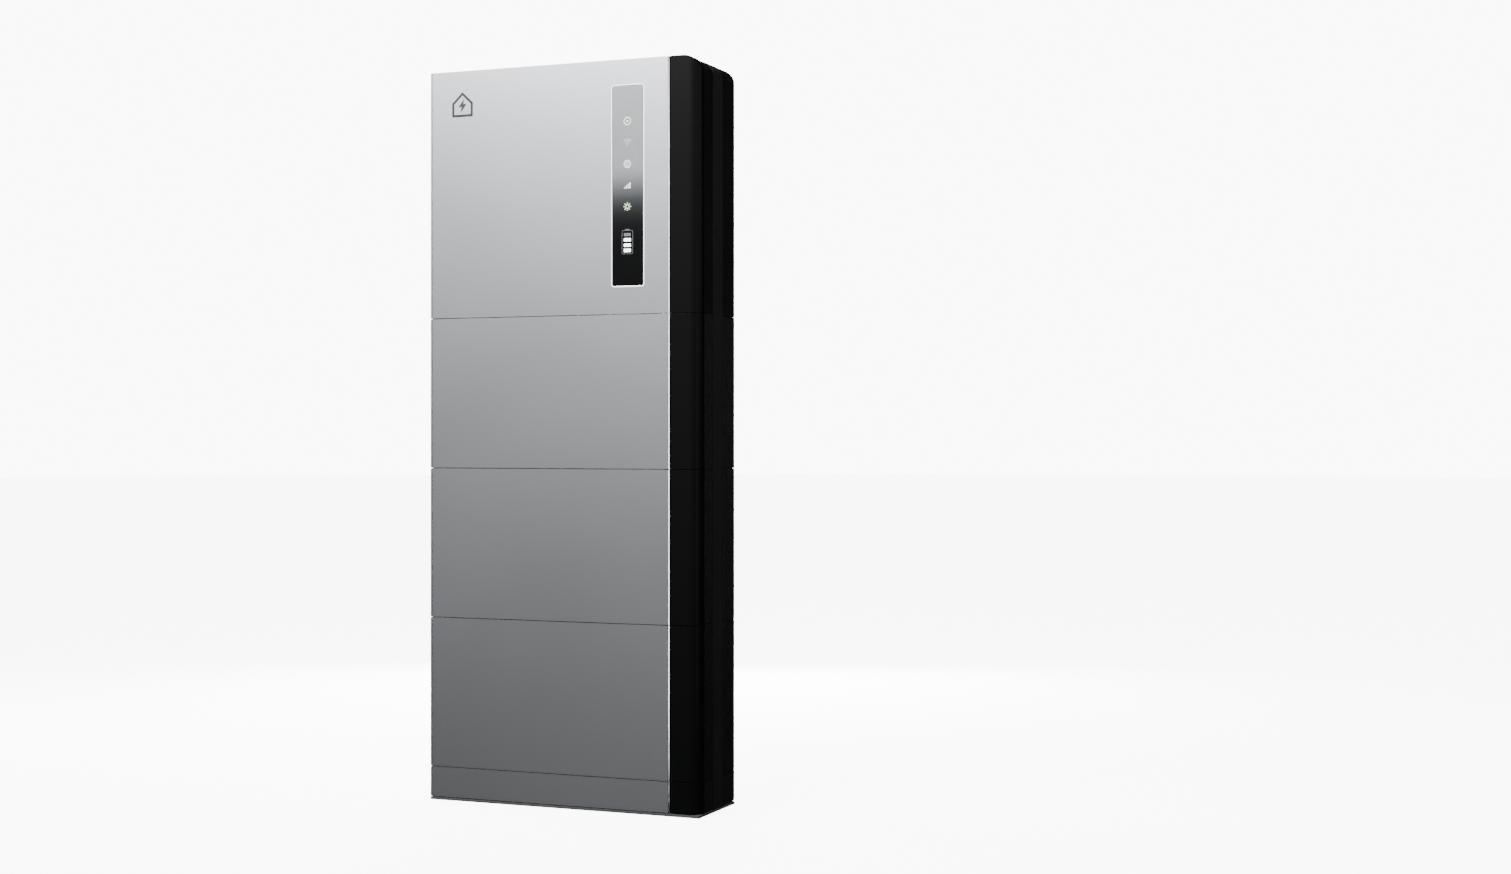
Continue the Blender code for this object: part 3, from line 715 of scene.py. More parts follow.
# The glass without the flange that holds it behind the panel
FLANGE = 0.004
WINDOW = (
    GLASS_LOW.x + FLANGE, GLASS_HIGH.x - FLANGE, GLASS_LOW.z + FLANGE, GLASS_HIGH.z - FLANGE,
)
WINDOW_RADIUS = 0.004
WINDOW_PLAY = 0.0004


def window_section(spread):
    """Section of the display's opening, spread by a margin on all sides."""
    x0, x1, z0, z1 = WINDOW
    return rounded(x0 - spread, x1 + spread, z0 - spread, z1 + spread, WINDOW_RADIUS + spread)


def hollow_back(piece, back_y, floor_y):
    """Push the back face of a solid in to a floor, so that a tray with thin walls is left."""
    depth = Vector((0.0, floor_y - back_y, 0.0))
    push(piece, lies(Y, back_y), depth, PANEL_WALL)


def front_panel(tier):
    """Silver tray with a grooved left edge, a chamfered right edge and diamond-cut seams."""
    low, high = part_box(tier + "_front_panel")
    near, far = (low.x + offset for offset in PANEL_GROOVE)
    corner = (low.x + PANEL_RADIUS, low.y + PANEL_RADIUS)
    floor_y = low.y + PANEL_GROOVE_DEEP
    section = [
        (high.x - PANEL_CHAMFER, low.y), (high.x, low.y + PANEL_CHAMFER),
        (high.x, high.y), (low.x, high.y), *arc(corner, PANEL_RADIUS, 180, 270, 5),
        (near, low.y), (near, floor_y), (far, floor_y), (far, low.y),
    ]
    panel = draw(section, "Z", low.z, high.z)
    for material in (anodised_silver(), bright_cut()):
        panel.data.materials.append(material)
    edit(panel)
    pick("FACE", lambda face: face.normal.x > 0.5 and face.normal.y < -0.5)
    panel.active_material_index = BRIGHT
    bpy.ops.object.material_slot_assign()
    bpy.ops.object.mode_set(mode="OBJECT")
    hollow_back(panel, high.y, low.y + PANEL_WALL)

    def chamfer_edge(edge):
        spot = middle(edge)
        at_right = spot.x > high.x - PANEL_CHAMFER - SMALL and spot.y < high.y - 0.01
        return at_right and runs(Z)(edge)

    def rim_edge(edge):
        level = lies(Z, low.z)(edge) or lies(Z, high.z)(edge)
        in_groove = near - SMALL < middle(edge).x < far + SMALL
        deepest = max(v.co.y for v in edge.verts)
        return level and not in_groove and deepest < low.y + PANEL_CHAMFER + SMALL

    bevel(panel, chamfer_edge, 0.0004, 2, BRIGHT)
    if tier == "head":
        opening = draw(window_section(WINDOW_PLAY), "Y", low.y - PAST, low.y + PANEL_WALL + PAST)
        carve(panel, opening)
    bevel(panel, rim_edge, sizes().panel_edge, 2, BRIGHT)
    if tier == "head":
        x0, x1, z0, z1 = WINDOW

        def window_edge(edge):
            in_opening = all(
                x0 - 0.001 < v.co.x < x1 + 0.001 and z0 - 0.001 < v.co.z < z1 + 0.001
                for v in edge.verts
            )
            return in_opening and lies(Y, low.y)(edge)

        bevel(panel, window_edge, 0.0008, 2, BRIGHT)
    return panel


class BATTERY_OT_front_panels(bpy.types.Operator):
    """Model the silver front panels of the plinth, the modules and the head"""

    bl_idname = "battery.front_panels"
    bl_label = "Front panels"

    def execute(self, context):
        for tier in TIERS:
            panel = front_panel(tier)
            panel.name = tier + "_panel"
            show(panel, anodised_silver(), nodes=[tier + "_front_panel"])
        return {"FINISHED"}


def round_waste(axis, corner, radius, low, high, steps):
    """Cutter that rounds an edge of the head that runs along an axis; corner is its middle."""
    reach = radius + PAST
    first, second = corner
    section = arc(corner, radius, 90, 0, steps)
    section += [(first + reach, second), (first + reach, second + reach), (first, second + reach)]
    return draw(section, axis, low - PAST, high + PAST)


def side_waste(radius, near, far):
    """Cutter for the head's top right edge, from front to back."""
    corner = (TRIM_HIGH.x - HEAD_SIDE_RADIUS, TOP_Z - HEAD_SIDE_RADIUS)
    return round_waste("Y", corner, radius, near, far, 18)


def rear_waste():
    """Cutter for the head's top rear edge, from side to side."""
    corner = (BACK_Y - HEAD_REAR_RADIUS, CASE_HIGH.z - HEAD_REAR_RADIUS)
    return round_waste("X", corner, HEAD_REAR_RADIUS, CASE_LOW.x, CASE_HIGH.x, 12)


def corner_trim(tier):
    """Black trim with an upright round corner; the head's is round at the top as well."""
    low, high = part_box(tier + "_side_trim")
    centre = (high.x - CORNER_RADIUS, low.y + CORNER_RADIUS)
    section = [
        (low.x, low.y), *arc(centre, CORNER_RADIUS, -90, 0, 18), (high.x, high.y), (low.x, high.y),
    ]
    trim = draw(section, "Z", low.z, high.z)
    if tier == "head":
        carve(trim, side_waste(HEAD_SIDE_RADIUS, low.y, high.y))
    hollow_back(trim, high.y, high.y - TRIM_RECESS)
    return soften(trim, sizes().trim_edge, 2, 22)


class BATTERY_OT_corner_trims(bpy.types.Operator):
    """Model the glossy black corner trims to the right of the front panels"""

    bl_idname = "battery.corner_trims"
    bl_label = "Corner trims"

    def execute(self, context):
        for tier in TIERS:
            trim = corner_trim(tier)
            trim.name = tier + "_corner_trim"
            show(trim, gloss_abs(), nodes=[tier + "_side_trim"])
        return {"FINISHED"}


# The gaskets' distance from every face, and the width of their rails round the cases
GASKET_SETBACK = 0.0034
GASKET_RAIL = 0.010
# Half their height in the seams between tiers, between the cases and over the base plate
SEAM_HALF = 0.0005
CASE_GAP_HALF = 0.0002
PLATE_GAP_HALF = 0.0006
# How far a seam's middle lies below the upper case
SEAM_BELOW_CASE = 0.0003


def gasket(seam_z, half_seam, half_gap):
    """Rubber gasket between two tiers: set back from every face, and thinner between the cases."""
    back, x = CASE_LOW.y, CASE_HIGH.x - GASKET_SETBACK
    corner = (TRIM_HIGH.x - CORNER_RADIUS, FRONT_Y + CORNER_RADIUS)
    section = [
        (PANEL_LOW.x + GASKET_SETBACK, FRONT_Y + GASKET_SETBACK),
        *arc(corner, CORNER_RADIUS - GASKET_SETBACK, -90, 0, 12),
        (TRIM_HIGH.x - GASKET_SETBACK, back), (PANEL_LOW.x + GASKET_SETBACK, back),
    ]
    front = draw(section, "Z", seam_z - half_seam, seam_z + half_seam)
    rear_y, inner_x = BACK_Y - GASKET_SETBACK, x - GASKET_RAIL
    low, high = seam_z - half_gap, seam_z + half_gap
    rails = [
        block((-x, back, low), (-inner_x, rear_y, high)),
        block((inner_x, back, low), (x, rear_y, high)),
        block((-inner_x, rear_y - GASKET_RAIL, low), (inner_x, rear_y, high)),
    ]
    return join([front, *rails], "step")


class BATTERY_OT_gaskets(bpy.types.Operator):
    """Model the black rubber gaskets in the seams between the tiers"""

    bl_idname = "battery.gaskets"
    bl_label = "Gaskets"

    def execute(self, context):
        seams = [
            (
                f"seam_gasket_{number}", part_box(tier + "_case")[0].z - SEAM_BELOW_CASE,
                SEAM_HALF, CASE_GAP_HALF,
            )
            for number, tier in enumerate(TIERS[1:], 1)
        ]
        foot_z = (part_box("base_plate")[1].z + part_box("base_housing")[0].z) / 2
        seams.append(("plate_gasket", foot_z, PLATE_GAP_HALF, PLATE_GAP_HALF))
        for name, seam_z, half_seam, half_gap in seams:
            piece = gasket(seam_z, half_seam, half_gap)
            piece.name = name
            show(piece, rubber())
        return {"FINISHED"}


# ---------------------------------------------------------------- housings

POCKET_CENTRES = (-0.130, 0.130)
POCKET_HALF = 0.090
POCKET_MARGIN = 0.050
POCKET_DEEP = 0.004
CASE_INNER_X = CASE_HIGH.x - CASE_WALL


def ribbed_side(has_strip):
    """Section points of a housing's right side, from front to back."""
    x = CASE_HIGH.x
    pitch, deep = sizes().rib_pitch, sizes().rib_depth
    width, slope = pitch * 0.46, 0.0008

    def grooves(zone):
        points = []
        for number in range(int((zone[1] - zone[0] - width) / pitch) + 1):
            near = FRONT_Y + zone[0] + number * pitch
            far = near + width
            points += [(x, near), (x - deep, near + slope), (x - deep, far - slope), (x, far)]
        return points

    near, far = (FRONT_Y + depth for depth in STRIP_ZONE)
    channel = [(x, near), (x - STRIP_RECESS, near), (x - STRIP_RECESS, far), (x, far)]
    return grooves(RIB_ZONES[0]) + (channel if has_strip else []) + grooves(RIB_ZONES[1])


def ribbed_block(low_z, high_z, has_left_strip=True):
    """Solid of a housing with grooved sides and rounded rear corners."""
    front, x = CASE_LOW.y, CASE_HIGH.x
    right = [(x, front), *ribbed_side(True), (x, BACK_Y)]
    left = [(x, front), *ribbed_side(has_left_strip), (x, BACK_Y)]
    body = draw(right + [(-a, b) for a, b in reversed(left)], "Z", low_z, high_z)
    return bevel(body, lambda edge: runs(Z)(edge) and lies(Y, BACK_Y)(edge), 0.002, 3)


def link_way(low_z, high_z):
    """Cutter for the power link's way through a housing."""
    low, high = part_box("module_1_power_link")
    play = 0.003
    return block((low.x + play, low.y + play, low_z), (high.x - play, high.y - play, high_z))


def back_beads(low_z, high_z):
    """Upright stiffening beads in the two shallow pockets of a module's back."""
    floor = BACK_Y - POCKET_DEEP
    beads = []
    for x in POCKET_CENTRES:
        for offset in (-0.054, -0.018, 0.018, 0.054):
            middle_x = x + offset
            bead = block(
                (middle_x - 0.005, floor - 0.0005, low_z + POCKET_MARGIN + 0.016),
                (middle_x + 0.005, floor + 0.0024, high_z - POCKET_MARGIN - 0.016),
            )
            beads.append(soften(bead, 0.0022, 3))
    return beads


def module_case(low_z, high_z):
    """Open-fronted ribbed case of a battery module."""
    case = ribbed_block(low_z, high_z)
    inner = Vector((0.0, BACK_Y - REAR_WALL - CASE_LOW.y, 0.0))
    push(case, lies(Y, CASE_LOW.y), inner, CASE_WALL)
    carve(case, link_way(low_z - PAST, high_z + PAST))
    for x in POCKET_CENTRES:
        pocket = block(
            (x - POCKET_HALF, BACK_Y - POCKET_DEEP, low_z + POCKET_MARGIN),
            (x + POCKET_HALF, BACK_Y + POCKET_DEEP, high_z - POCKET_MARGIN),
        )
        carve(case, bevel(pocket, runs(Y), 0.008, 5))
    soften(case, 0.0004, 1, 30)
    return join([case, *back_beads(low_z, high_z)], "step")


def base_case(low_z, high_z):
    """Ribbed case of the plinth, open below and to the front."""
    case = ribbed_block(low_z, high_z)
    hollow = block(
        (-CASE_INNER_X, CASE_LOW.y - PAST, low_z - PAST),
        (CASE_INNER_X, BACK_Y - CASE_WALL, high_z - 0.003),
    )
    return soften(carve(case, hollow), 0.0004, 1, 30)


def strip_section(low_z, proud, recess):
    """Front view of the right cover strip: upright, then bent over the head's round edge."""
    centre = (TRIM_HIGH.x - HEAD_SIDE_RADIUS, TOP_Z - HEAD_SIDE_RADIUS)
    radius = CASE_HIGH.x - centre[0]
    return [
        (CASE_HIGH.x - recess, low_z), (CASE_HIGH.x + proud, low_z),
        *arc(centre, radius + proud, 0, 90, 18), *arc(centre, radius - recess, 90, 0, 18),
    ]


def head_case():
    """Cast case of the head, with a bay window on the left and a fin pocket behind."""
    low_z, high_z = CASE_LOW.z, CASE_HIGH.z
    case = ribbed_block(low_z, high_z, has_left_strip=False)
    outer_radius = CASE_HIGH.x - TRIM_HIGH.x + HEAD_SIDE_RADIUS
    near, far = (FRONT_Y + depth for depth in STRIP_ZONE)
    channel = draw(strip_section(low_z + 0.2, PAST, STRIP_RECESS), "Y", near, far)
    carve(case, side_waste(outer_radius, CASE_LOW.y, BACK_Y), rear_waste(), channel)
    play, wall = 0.002, CASE_WALL + 0.002
    pocket_y = SINK_LOW.y - 0.0003
    hollow = block(
        (-CASE_INNER_X, CASE_LOW.y - PAST, low_z + CASE_WALL),
        (CASE_INNER_X, BACK_Y - REAR_WALL, high_z - CASE_WALL),
    )
    pocket_wall = block(
        (SINK_LOW.x - wall, pocket_y - CASE_WALL, SINK_LOW.z - wall),
        (SINK_HIGH.x + wall, BACK_Y, SINK_HIGH.z + wall),
    )
    carve(hollow, pocket_wall, side_waste(outer_radius - CASE_WALL, CASE_LOW.y, BACK_Y))
    pocket = block(
        (SINK_LOW.x - play, pocket_y, SINK_LOW.z - play),
        (SINK_HIGH.x + play, BACK_Y + PAST, SINK_HIGH.z + play),
    )
    bevel(pocket, runs(Y), 0.0018, 3)
    gap = 0.0003
    window = block(
        (CASE_LOW.x - PAST, BAY_LOW.y - gap, BAY_LOW.z - gap),
        (-CASE_INNER_X + PAST, BAY_HIGH.y + gap, BAY_HIGH.z + gap),
    )
    carve(case, hollow, pocket, window, link_way(low_z - PAST, low_z + CASE_WALL + PAST))
    return soften(case, 0.0004, 1, 30)


class BATTERY_OT_housings(bpy.types.Operator):
    """Model the ribbed black housings behind the front shell"""

    bl_idname = "battery.housings"
    bl_label = "Housings"

    def execute(self, context):
        material = powder_black()
        low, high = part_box("base_housing")
        plinth = base_case(low.z, high.z)
        plinth.name = "base_ribbed_case"
        show(plinth, material, nodes=["base_housing"])
        low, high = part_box("module_1_case")
        first = module_case(low.z, high.z)
        for tier in MODULES:
            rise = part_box(tier + "_case")[0].z - low.z
            case = twin(first, (0.0, 0.0, rise), tier + "_ribbed_case")
            show(case, material, nodes=[tier + "_case"])
        bpy.data.objects.remove(first)
        head = head_case()
        head.name = "head_ribbed_case"
        show(head, material, nodes=["head_case"])
        return {"FINISHED"}


class BATTERY_OT_cover_strips(bpy.types.Operator):
    """Model the two smooth strips that cover the housings' joints at the sides"""

    bl_idname = "battery.cover_strips"
    bl_label = "Cover strips"

    def execute(self, context):
        low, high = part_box("cover_strip_right")
        section = strip_section(low.z, 0.0005, STRIP_RECESS - 0.0003)
        right = soften(draw(section, "Y", low.y, high.y), 0.0006, 3)
        right.name = "cover_strip_right_bent"
        show(right, strip_black(), nodes=["cover_strip_right"])
        low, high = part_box("cover_strip_left")
        left = soften(block(low, high), 0.0006, 3)
        near, far = low.y + 0.012, high.y - 0.012
        for z in (low.z + 0.035, high.z - 0.035):
            slot = block((low.x - PAST, near, z - 0.003), (low.x + 0.001, far, z + 0.003))
            carve(left, soften(slot, 0.0015, 3))
        left.name = "cover_strip_left_flat"
        show(left, strip_black(), nodes=["cover_strip_left"])
        return {"FINISHED"}


class BATTERY_OT_base_plate(bpy.types.Operator):
    """Model the steel plate under the stack, with its clearance holes for the feet"""

    bl_idname = "battery.base_plate"
    bl_label = "Base plate"

    def execute(self, context):
        low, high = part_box("base_plate")
        plate = bevel(block(low, high), runs(Z), 0.002, 3)
        for name in FEET:
            foot_low, foot_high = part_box(name)
            spot = ((foot_low.x + foot_high.x) / 2, (foot_low.y + foot_high.y) / 2, 0.003)
            carve(plate, rod(spot, 0.0148, 0.02, "Z", 40))
        soften(plate, 0.0008, 2)
        plate.name = "base_steel_plate"
        show(plate, plate_grey(), nodes=["base_plate"])
        return {"FINISHED"}


# ---------------------------------------------------------------- display and badge

SYMBOL_X = 0.158
SYMBOL_LINE = 0.0011
SYMBOL_HEIGHTS = {
    "status": 1.4757, "waves": 1.4299, "globe": 1.3841, "signal": 1.3383, "sun": 1.2935,
}


def print_layer(face_y):
    """Front and back of a thin print on a face."""
    return face_y - PRINT_PROUD, face_y + PRINT_SUNK


def flat(points):
    """A thin printed shape on the glass."""
    return draw(points, "Y", *print_layer(GLASS_LOW.y))


def frame_of(outer, inner, face_y):
    """A thin printed frame on a face, between two sections."""
    near, far = print_layer(face_y)
    return carve(draw(outer, "Y", near, far), draw(inner, "Y", near - 0.001, far + 0.001))


def ring(centre, radius, line=SYMBOL_LINE, squeeze=1.0):
    """A thin printed ring on the glass, squeezed sideways if asked to."""
    rest()
    bpy.ops.mesh.primitive_torus_add(
        major_radius=radius, minor_radius=line / 2, major_segments=48, minor_segments=8,
        location=(centre[0], GLASS_LOW.y, centre[1]), rotation=(math.pi / 2, 0.0, 0.0),
    )
    piece = bpy.context.object
    piece.scale = (squeeze, 1.0, 0.25)
    return settle(piece, "step")


def dot(centre, radius):
    return flat(arc(centre, radius, 0, 345, 23))


def band(centre, radius, start, end, line=SYMBOL_LINE):
    """A printed part of a ring."""
    outer, inner = radius + line / 2, radius - line / 2
    return flat(arc(centre, outer, start, end, 14) + arc(centre, inner, end, start, 14))


def bar(centre, width, height, radius=0.0004):
    x, z = centre
    return flat(rounded(x - width / 2, x + width / 2, z - height / 2, z + height / 2, radius, 3))


def ray(centre, angle, near, far, line=SYMBOL_LINE):
    """A short printed line that points away from a centre."""
    out = Vector((math.cos(angle), math.sin(angle)))
    side = Vector((-out.y, out.x)) * line / 2
    start, end = Vector(centre) + out * near, Vector(centre) + out * far
    return flat([start - side, end - side, end + side, start + side])


def symbol_pieces():
    """The display's symbols as lists of thin shapes, by name."""
    radius = sizes().icon_size / 2
    spots = {name: (SYMBOL_X, height) for name, height in SYMBOL_HEIGHTS.items()}
    x, z = spots["waves"]
    foot = (x, z - radius * 0.62)
    globe = spots["globe"]
    x, z = spots["signal"]
    signal = [
        bar((x + (step - 2.5) * 0.0042, z - 0.0062 + 0.0016 * step), 0.0024, 0.0032 * step)
        for step in range(1, 5)
    ]
    sun = spots["sun"]
    return {
        "status": [
            ring(spots["status"], radius - SYMBOL_LINE), dot(spots["status"], radius * 0.22),
        ],
        "waves": [dot(foot, radius * 0.17)] + [
            band(foot, radius * share, 45, 135, SYMBOL_LINE * 1.3) for share in (0.55, 0.98, 1.42)
        ],
        "globe": [
            ring(globe, radius - SYMBOL_LINE), ring(globe, radius - SYMBOL_LINE, squeeze=0.45),
            *(
                bar((globe[0], globe[1] + radius * rise), radius * width, SYMBOL_LINE * 0.8)
                for rise, width in ((0.0, 1.9), (0.45, 1.6), (-0.45, 1.6))
            ),
        ],
        "signal": signal,
        "sun": [ring(sun, radius * 0.44)] + [
            ray(sun, math.radians(45 * step), radius * 0.68, radius * 1.0) for step in range(8)
        ],
    }


# Outer and inner edge of the glowing rim outside the display's opening: a painted highlight that
# stands in for the bright reflections on the opening's edges
RIM = 0.0030
RIM_GAP = 0.0010
# The charge gauge's sides, bottom and top
GAUGE = (SYMBOL_X - 0.0130, SYMBOL_X + 0.0130, 1.1923, 1.2456)


def gauge_frame():
    """Printed outline of the charge gauge, with its terminal on top."""
    x0, x1, z0, z1 = GAUGE
    line, top = 0.0009, z1 - 0.0026
    outer = rounded(x0, x1, z0, top, 0.0032, 5)
    inner = rounded(x0 + line, x1 - line, z0 + line, top - line, 0.0020, 5)
    return [frame_of(outer, inner, GLASS_LOW.y), bar((SYMBOL_X, z1 - 0.0010), 0.0100, 0.0018)]


def gauge_bar(step):
    """One of the gauge's four bars, counted from below."""
    height = 0.0068
    z = GAUGE[2] + 0.0044 + height / 2 + step * (height + 0.0044)
    return bar((SYMBOL_X, z), 0.0160, height, 0.0008)


class BATTERY_OT_display(bpy.types.Operator):
    """Model the display glass and the symbols that light up behind it"""

    bl_idname = "battery.display"
    bl_label = "Display"

    def execute(self, context):
        face = GLASS_LOW.y
        glass = draw(window_section(0.0), "Y", face, face + 0.0036)
        bevel(glass, lies(Y, face), 0.0006, 3)
        wide = rounded(GLASS_LOW.x, GLASS_HIGH.x, GLASS_LOW.z, GLASS_HIGH.z, WINDOW_RADIUS * 2)
        flange = draw(wide, "Y", GLASS_HIGH.y - 0.002, GLASS_HIGH.y)
        carve(glass, flange, operation="UNION")
        glass.name = "display_glass"
        show(glass, printed_glass(), nodes=["display_window"])
        # The glowing rim round the opening is a painted highlight: an emitting frame in place of the
        # bright lines that the opening's edges reflect.
        painted_rim_highlight = frame_of(window_section(RIM), window_section(RIM_GAP), FRONT_Y)
        painted_rim_highlight.name = "display_rim_painted_highlight"
        glow = lamp("rim_painted_highlight_glow", "#F4F6F7", "#E9ECED", 2.2)
        show(painted_rim_highlight, glow)
        bright = lamp("bright_white_print", "#F6FCF6", "#EAF1EA", 5.0)
        green = lamp("lit_greenish_print", "#D4F0CF", "#CAE5C5", 3.4)
        lit = lamp("lit_white_print", colours().lit, "#DADEE0", 1.6)
        soft = lamp("soft_white_print", "#CBCED0", "#C1C4C6", 0.3)
        dim = lamp("dim_white_print", "#77797C", "#6E7073", 0.16)
        looks = {"status": green, "waves": soft, "globe": lit, "signal": lit, "sun": green}
        for name, shapes in symbol_pieces().items():
            show(join(shapes, "symbol_" + name), looks[name])
        show(join(gauge_frame(), "symbol_gauge_frame"), dim)
        charge = join([gauge_bar(step) for step in range(3)], "symbol_gauge_charge")
        show(charge, bright)
        spare = gauge_bar(3)
        spare.name = "symbol_gauge_spare"
        show(spare, dim)
        return {"FINISHED"}


class BATTERY_OT_badge(bpy.types.Operator):
    """Print a plain house with a lightning bolt on the head's upper left"""

    bl_idname = "battery.badge"
    bl_label = "Badge"

    def execute(self, context):
        x, z = -0.243, 1.5335
        walls, eaves, ridge, foot, line = 0.0260, 0.004, 0.0285, -0.0265, 0.0055

        def house(shrink):
            wall = walls - shrink
            return [
                (x - wall, z + foot + shrink), (x + wall, z + foot + shrink),
                (x + wall, z + eaves - shrink * 0.45), (x, z + ridge - shrink * 1.35),
                (x - wall, z + eaves - shrink * 0.45),
            ]

        outline = frame_of(house(0.0), house(line), FRONT_Y)
        bolt = draw(
            [
                (x + 0.0050, z + 0.0140), (x - 0.0105, z - 0.0045), (x - 0.0020, z - 0.0045),
                (x - 0.0050, z - 0.0180), (x + 0.0105, z + 0.0020), (x + 0.0020, z + 0.0020),
            ],
            "Y", *print_layer(FRONT_Y),
        )
        show(join([outline, bolt], "badge_house_bolt"), badge_ink())
        return {"FINISHED"}


# ---------------------------------------------------------------- connection bay

BAY_RIB_HEIGHTS = (1.1860, 1.4030)
BAY_RIB = 0.0015


def spot_of(node):
    """Y and Z of the middle of a CAD node in the bay."""
    low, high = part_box(node)
    return (low.y + high.y) / 2, (low.z + high.z) / 2


def standing(spot, radius, low, high, sides=32):
    """Cylinder that stands off the bay's floor between two heights."""
    centre = (BAY_FLOOR_X - (low + high) / 2, *spot)
    return rod(centre, radius, high - low, "X", sides)


def standing_block(spot, half_y, half_z, low, high):
    y, z = spot
    return block(
        (BAY_FLOOR_X - high, y - half_y, z - half_z), (BAY_FLOOR_X - low, y + half_y, z + half_z),
    )


def outward(face):
    """Faces that look out of the bay."""
    return face.normal.x < -0.99


def screw_head(spot, low, radius=0.0032):
    """Pan head with a six-sided socket, looking out of the bay."""
    head = standing(spot, radius, low, low + radius * 0.6, 24)
    top = BAY_FLOOR_X - low - radius * 0.6
    bevel(head, lies(X, top), radius * 0.3, 3)
    return carve(head, standing(spot, radius * 0.5, low + radius * 0.25, low + radius, 6))


def ribbed_cap(spot, radius, low, high, ribs=20):
    """Round cap with grip ribs round its side and a dished top."""
    cap = standing(spot, radius - 0.0006, low, high, ribs * 2)
    centre = Vector((0.0, *spot))

    def rib_face(face):
        if abs(face.normal.x) > 0.5:
            return False
        out = middle(face) - centre
        share = math.atan2(out.z, out.y) / (2 * math.pi) % 1.0
        return int(share * ribs * 2) % 2 == 0

    edit(cap)
    pick("FACE", rib_face)
    bpy.ops.mesh.inset(thickness=radius * 0.012, depth=0.0006, use_individual=True)
    bpy.ops.object.mode_set(mode="OBJECT")
    push(cap, outward, Vector((0.0007, 0.0, 0.0)), radius * 0.22)
    return soften(cap, 0.0003, 2, 30)


def connector(spot, radius, length):
    """Panel connector: six-sided collar, sealing ring, barrel and ribbed cap."""
    collar = soften(standing(spot, radius * 1.10, 0.0003, length * 0.25, 6), 0.0006, 2)
    seal = soften(standing(spot, radius * 0.90, length * 0.24, length * 0.30), 0.0005, 2)
    barrel = standing(spot, radius * 0.80, length * 0.28, length * 0.62)
    cap = ribbed_cap(spot, radius, length * 0.60, length)
    return join([collar, seal, barrel, cap], "step")


class BATTERY_OT_bay(bpy.types.Operator):
    """Model the connection bay's tray, its ribs and its screws"""

    bl_idname = "battery.bay"
    bl_label = "Connection bay"

    def execute(self, context):
        tray = block(BAY_LOW, BAY_HIGH)
        depth = BAY_FLOOR_X - BAY_LOW.x
        push(tray, outward, Vector((depth, 0.0, 0.0)), BAY_WALL)
        y, z = spot_of("power_button")
        carve(tray, rod((BAY_FLOOR_X, y, z), 0.0084, 0.02, "X", 40))
        soften(tray, 0.0005, 2, 30)
        shelves = []
        for height in BAY_RIB_HEIGHTS:
            shelf = block(
                (BAY_FLOOR_X - 0.0035, BAY_LOW.y + BAY_RIB, height),
                (BAY_FLOOR_X + 0.0005, BAY_HIGH.y - BAY_RIB, height + BAY_RIB),
            )
            shelves.append(soften(shelf, 0.0006, 2))
        tray = join([tray, *shelves], "bay_tray")
        show(tray, nylon_black(), nodes=["connection_bay"])
        screws = [
            screw_head((y, z), 0.0)
            for y in (BAY_LOW.y + 0.0085, BAY_HIGH.y - 0.0085)
            for z in (BAY_LOW.z + 0.0075, BAY_HIGH.z - 0.0065)
        ]
        show(join(screws, "bay_screws"), zinc())
        return {"FINISHED"}


class BATTERY_OT_isolator(bpy.types.Operator):
    """Model the rotary isolator: its stepped housing, dial marks, screws and gripped knob"""

    bl_idname = "battery.isolator"
    bl_label = "Isolator"

    def execute(self, context):
        y, z = spot = spot_of("isolator_knob")
        half, height = 0.033, 0.014
        housing = standing_block(spot, half, half, 0.0003, height)
        bevel(housing, runs(X), 0.006, 5)
        push(housing, outward, Vector((0.0008, 0.0, 0.0)), 0.0022)
        carve(housing, standing(spot, 0.0238, height - 0.0016, height + 0.002, 48))
        carve(housing, standing(spot, 0.0046, 0.004, height + 0.002, 24))
        soften(housing, 0.0005, 2, 30)
        housing.name = "isolator_base"
        show(housing, grey_abs(), nodes=["isolator_housing"])
        marks = []
        for angle in (0, 90):
            a = math.radians(angle)
            centre = (y + 0.0268 * math.sin(a), z + 0.0268 * math.cos(a))
            wide, tall = (0.0006, 0.0018) if angle == 0 else (0.0018, 0.0006)
            mark = standing_block(centre, wide, tall, height - 0.0009, height - 0.00065)
            marks.append(soften(mark, 0.0001, 1))
        white = lamp("white_dial_print", "#E9E9E6", "#DFDFDB", 0.0)
        show(join(marks, "isolator_marks"), white)
        corners = [(y + a * 0.0265, z + b * 0.0265) for a in (-1, 1) for b in (-1, 1)]
        screws = [screw_head(corner, height - 0.0009, 0.0022) for corner in corners]
        show(join(screws, "isolator_screws"), zinc())
        disc = ribbed_cap(spot, 0.0218, 0.0146, 0.0212, 24)
        grip = standing_block(spot, 0.0060, 0.0205, 0.0190, 0.0340)
        edit(grip)
        pick("FACE", outward)
        bpy.ops.transform.resize(value=(1.0, 0.68, 0.93))
        bpy.ops.object.mode_set(mode="OBJECT")
        soften(grip, 0.0022, 4)
        hub = standing(spot, 0.0039, 0.0052, 0.0160, 24)
        knob = join([disc, grip, hub], "isolator_grip")
        show(knob, knob_nylon(), "isolator_knob", ["isolator_knob"])
        pointer = soften(standing_block((y, z + 0.0112), 0.0009, 0.0058, 0.0338, 0.0342), 0.0001, 1)
        pointer.name = "isolator_pointer"
        show(pointer, white, "isolator_knob")
        return {"FINISHED"}


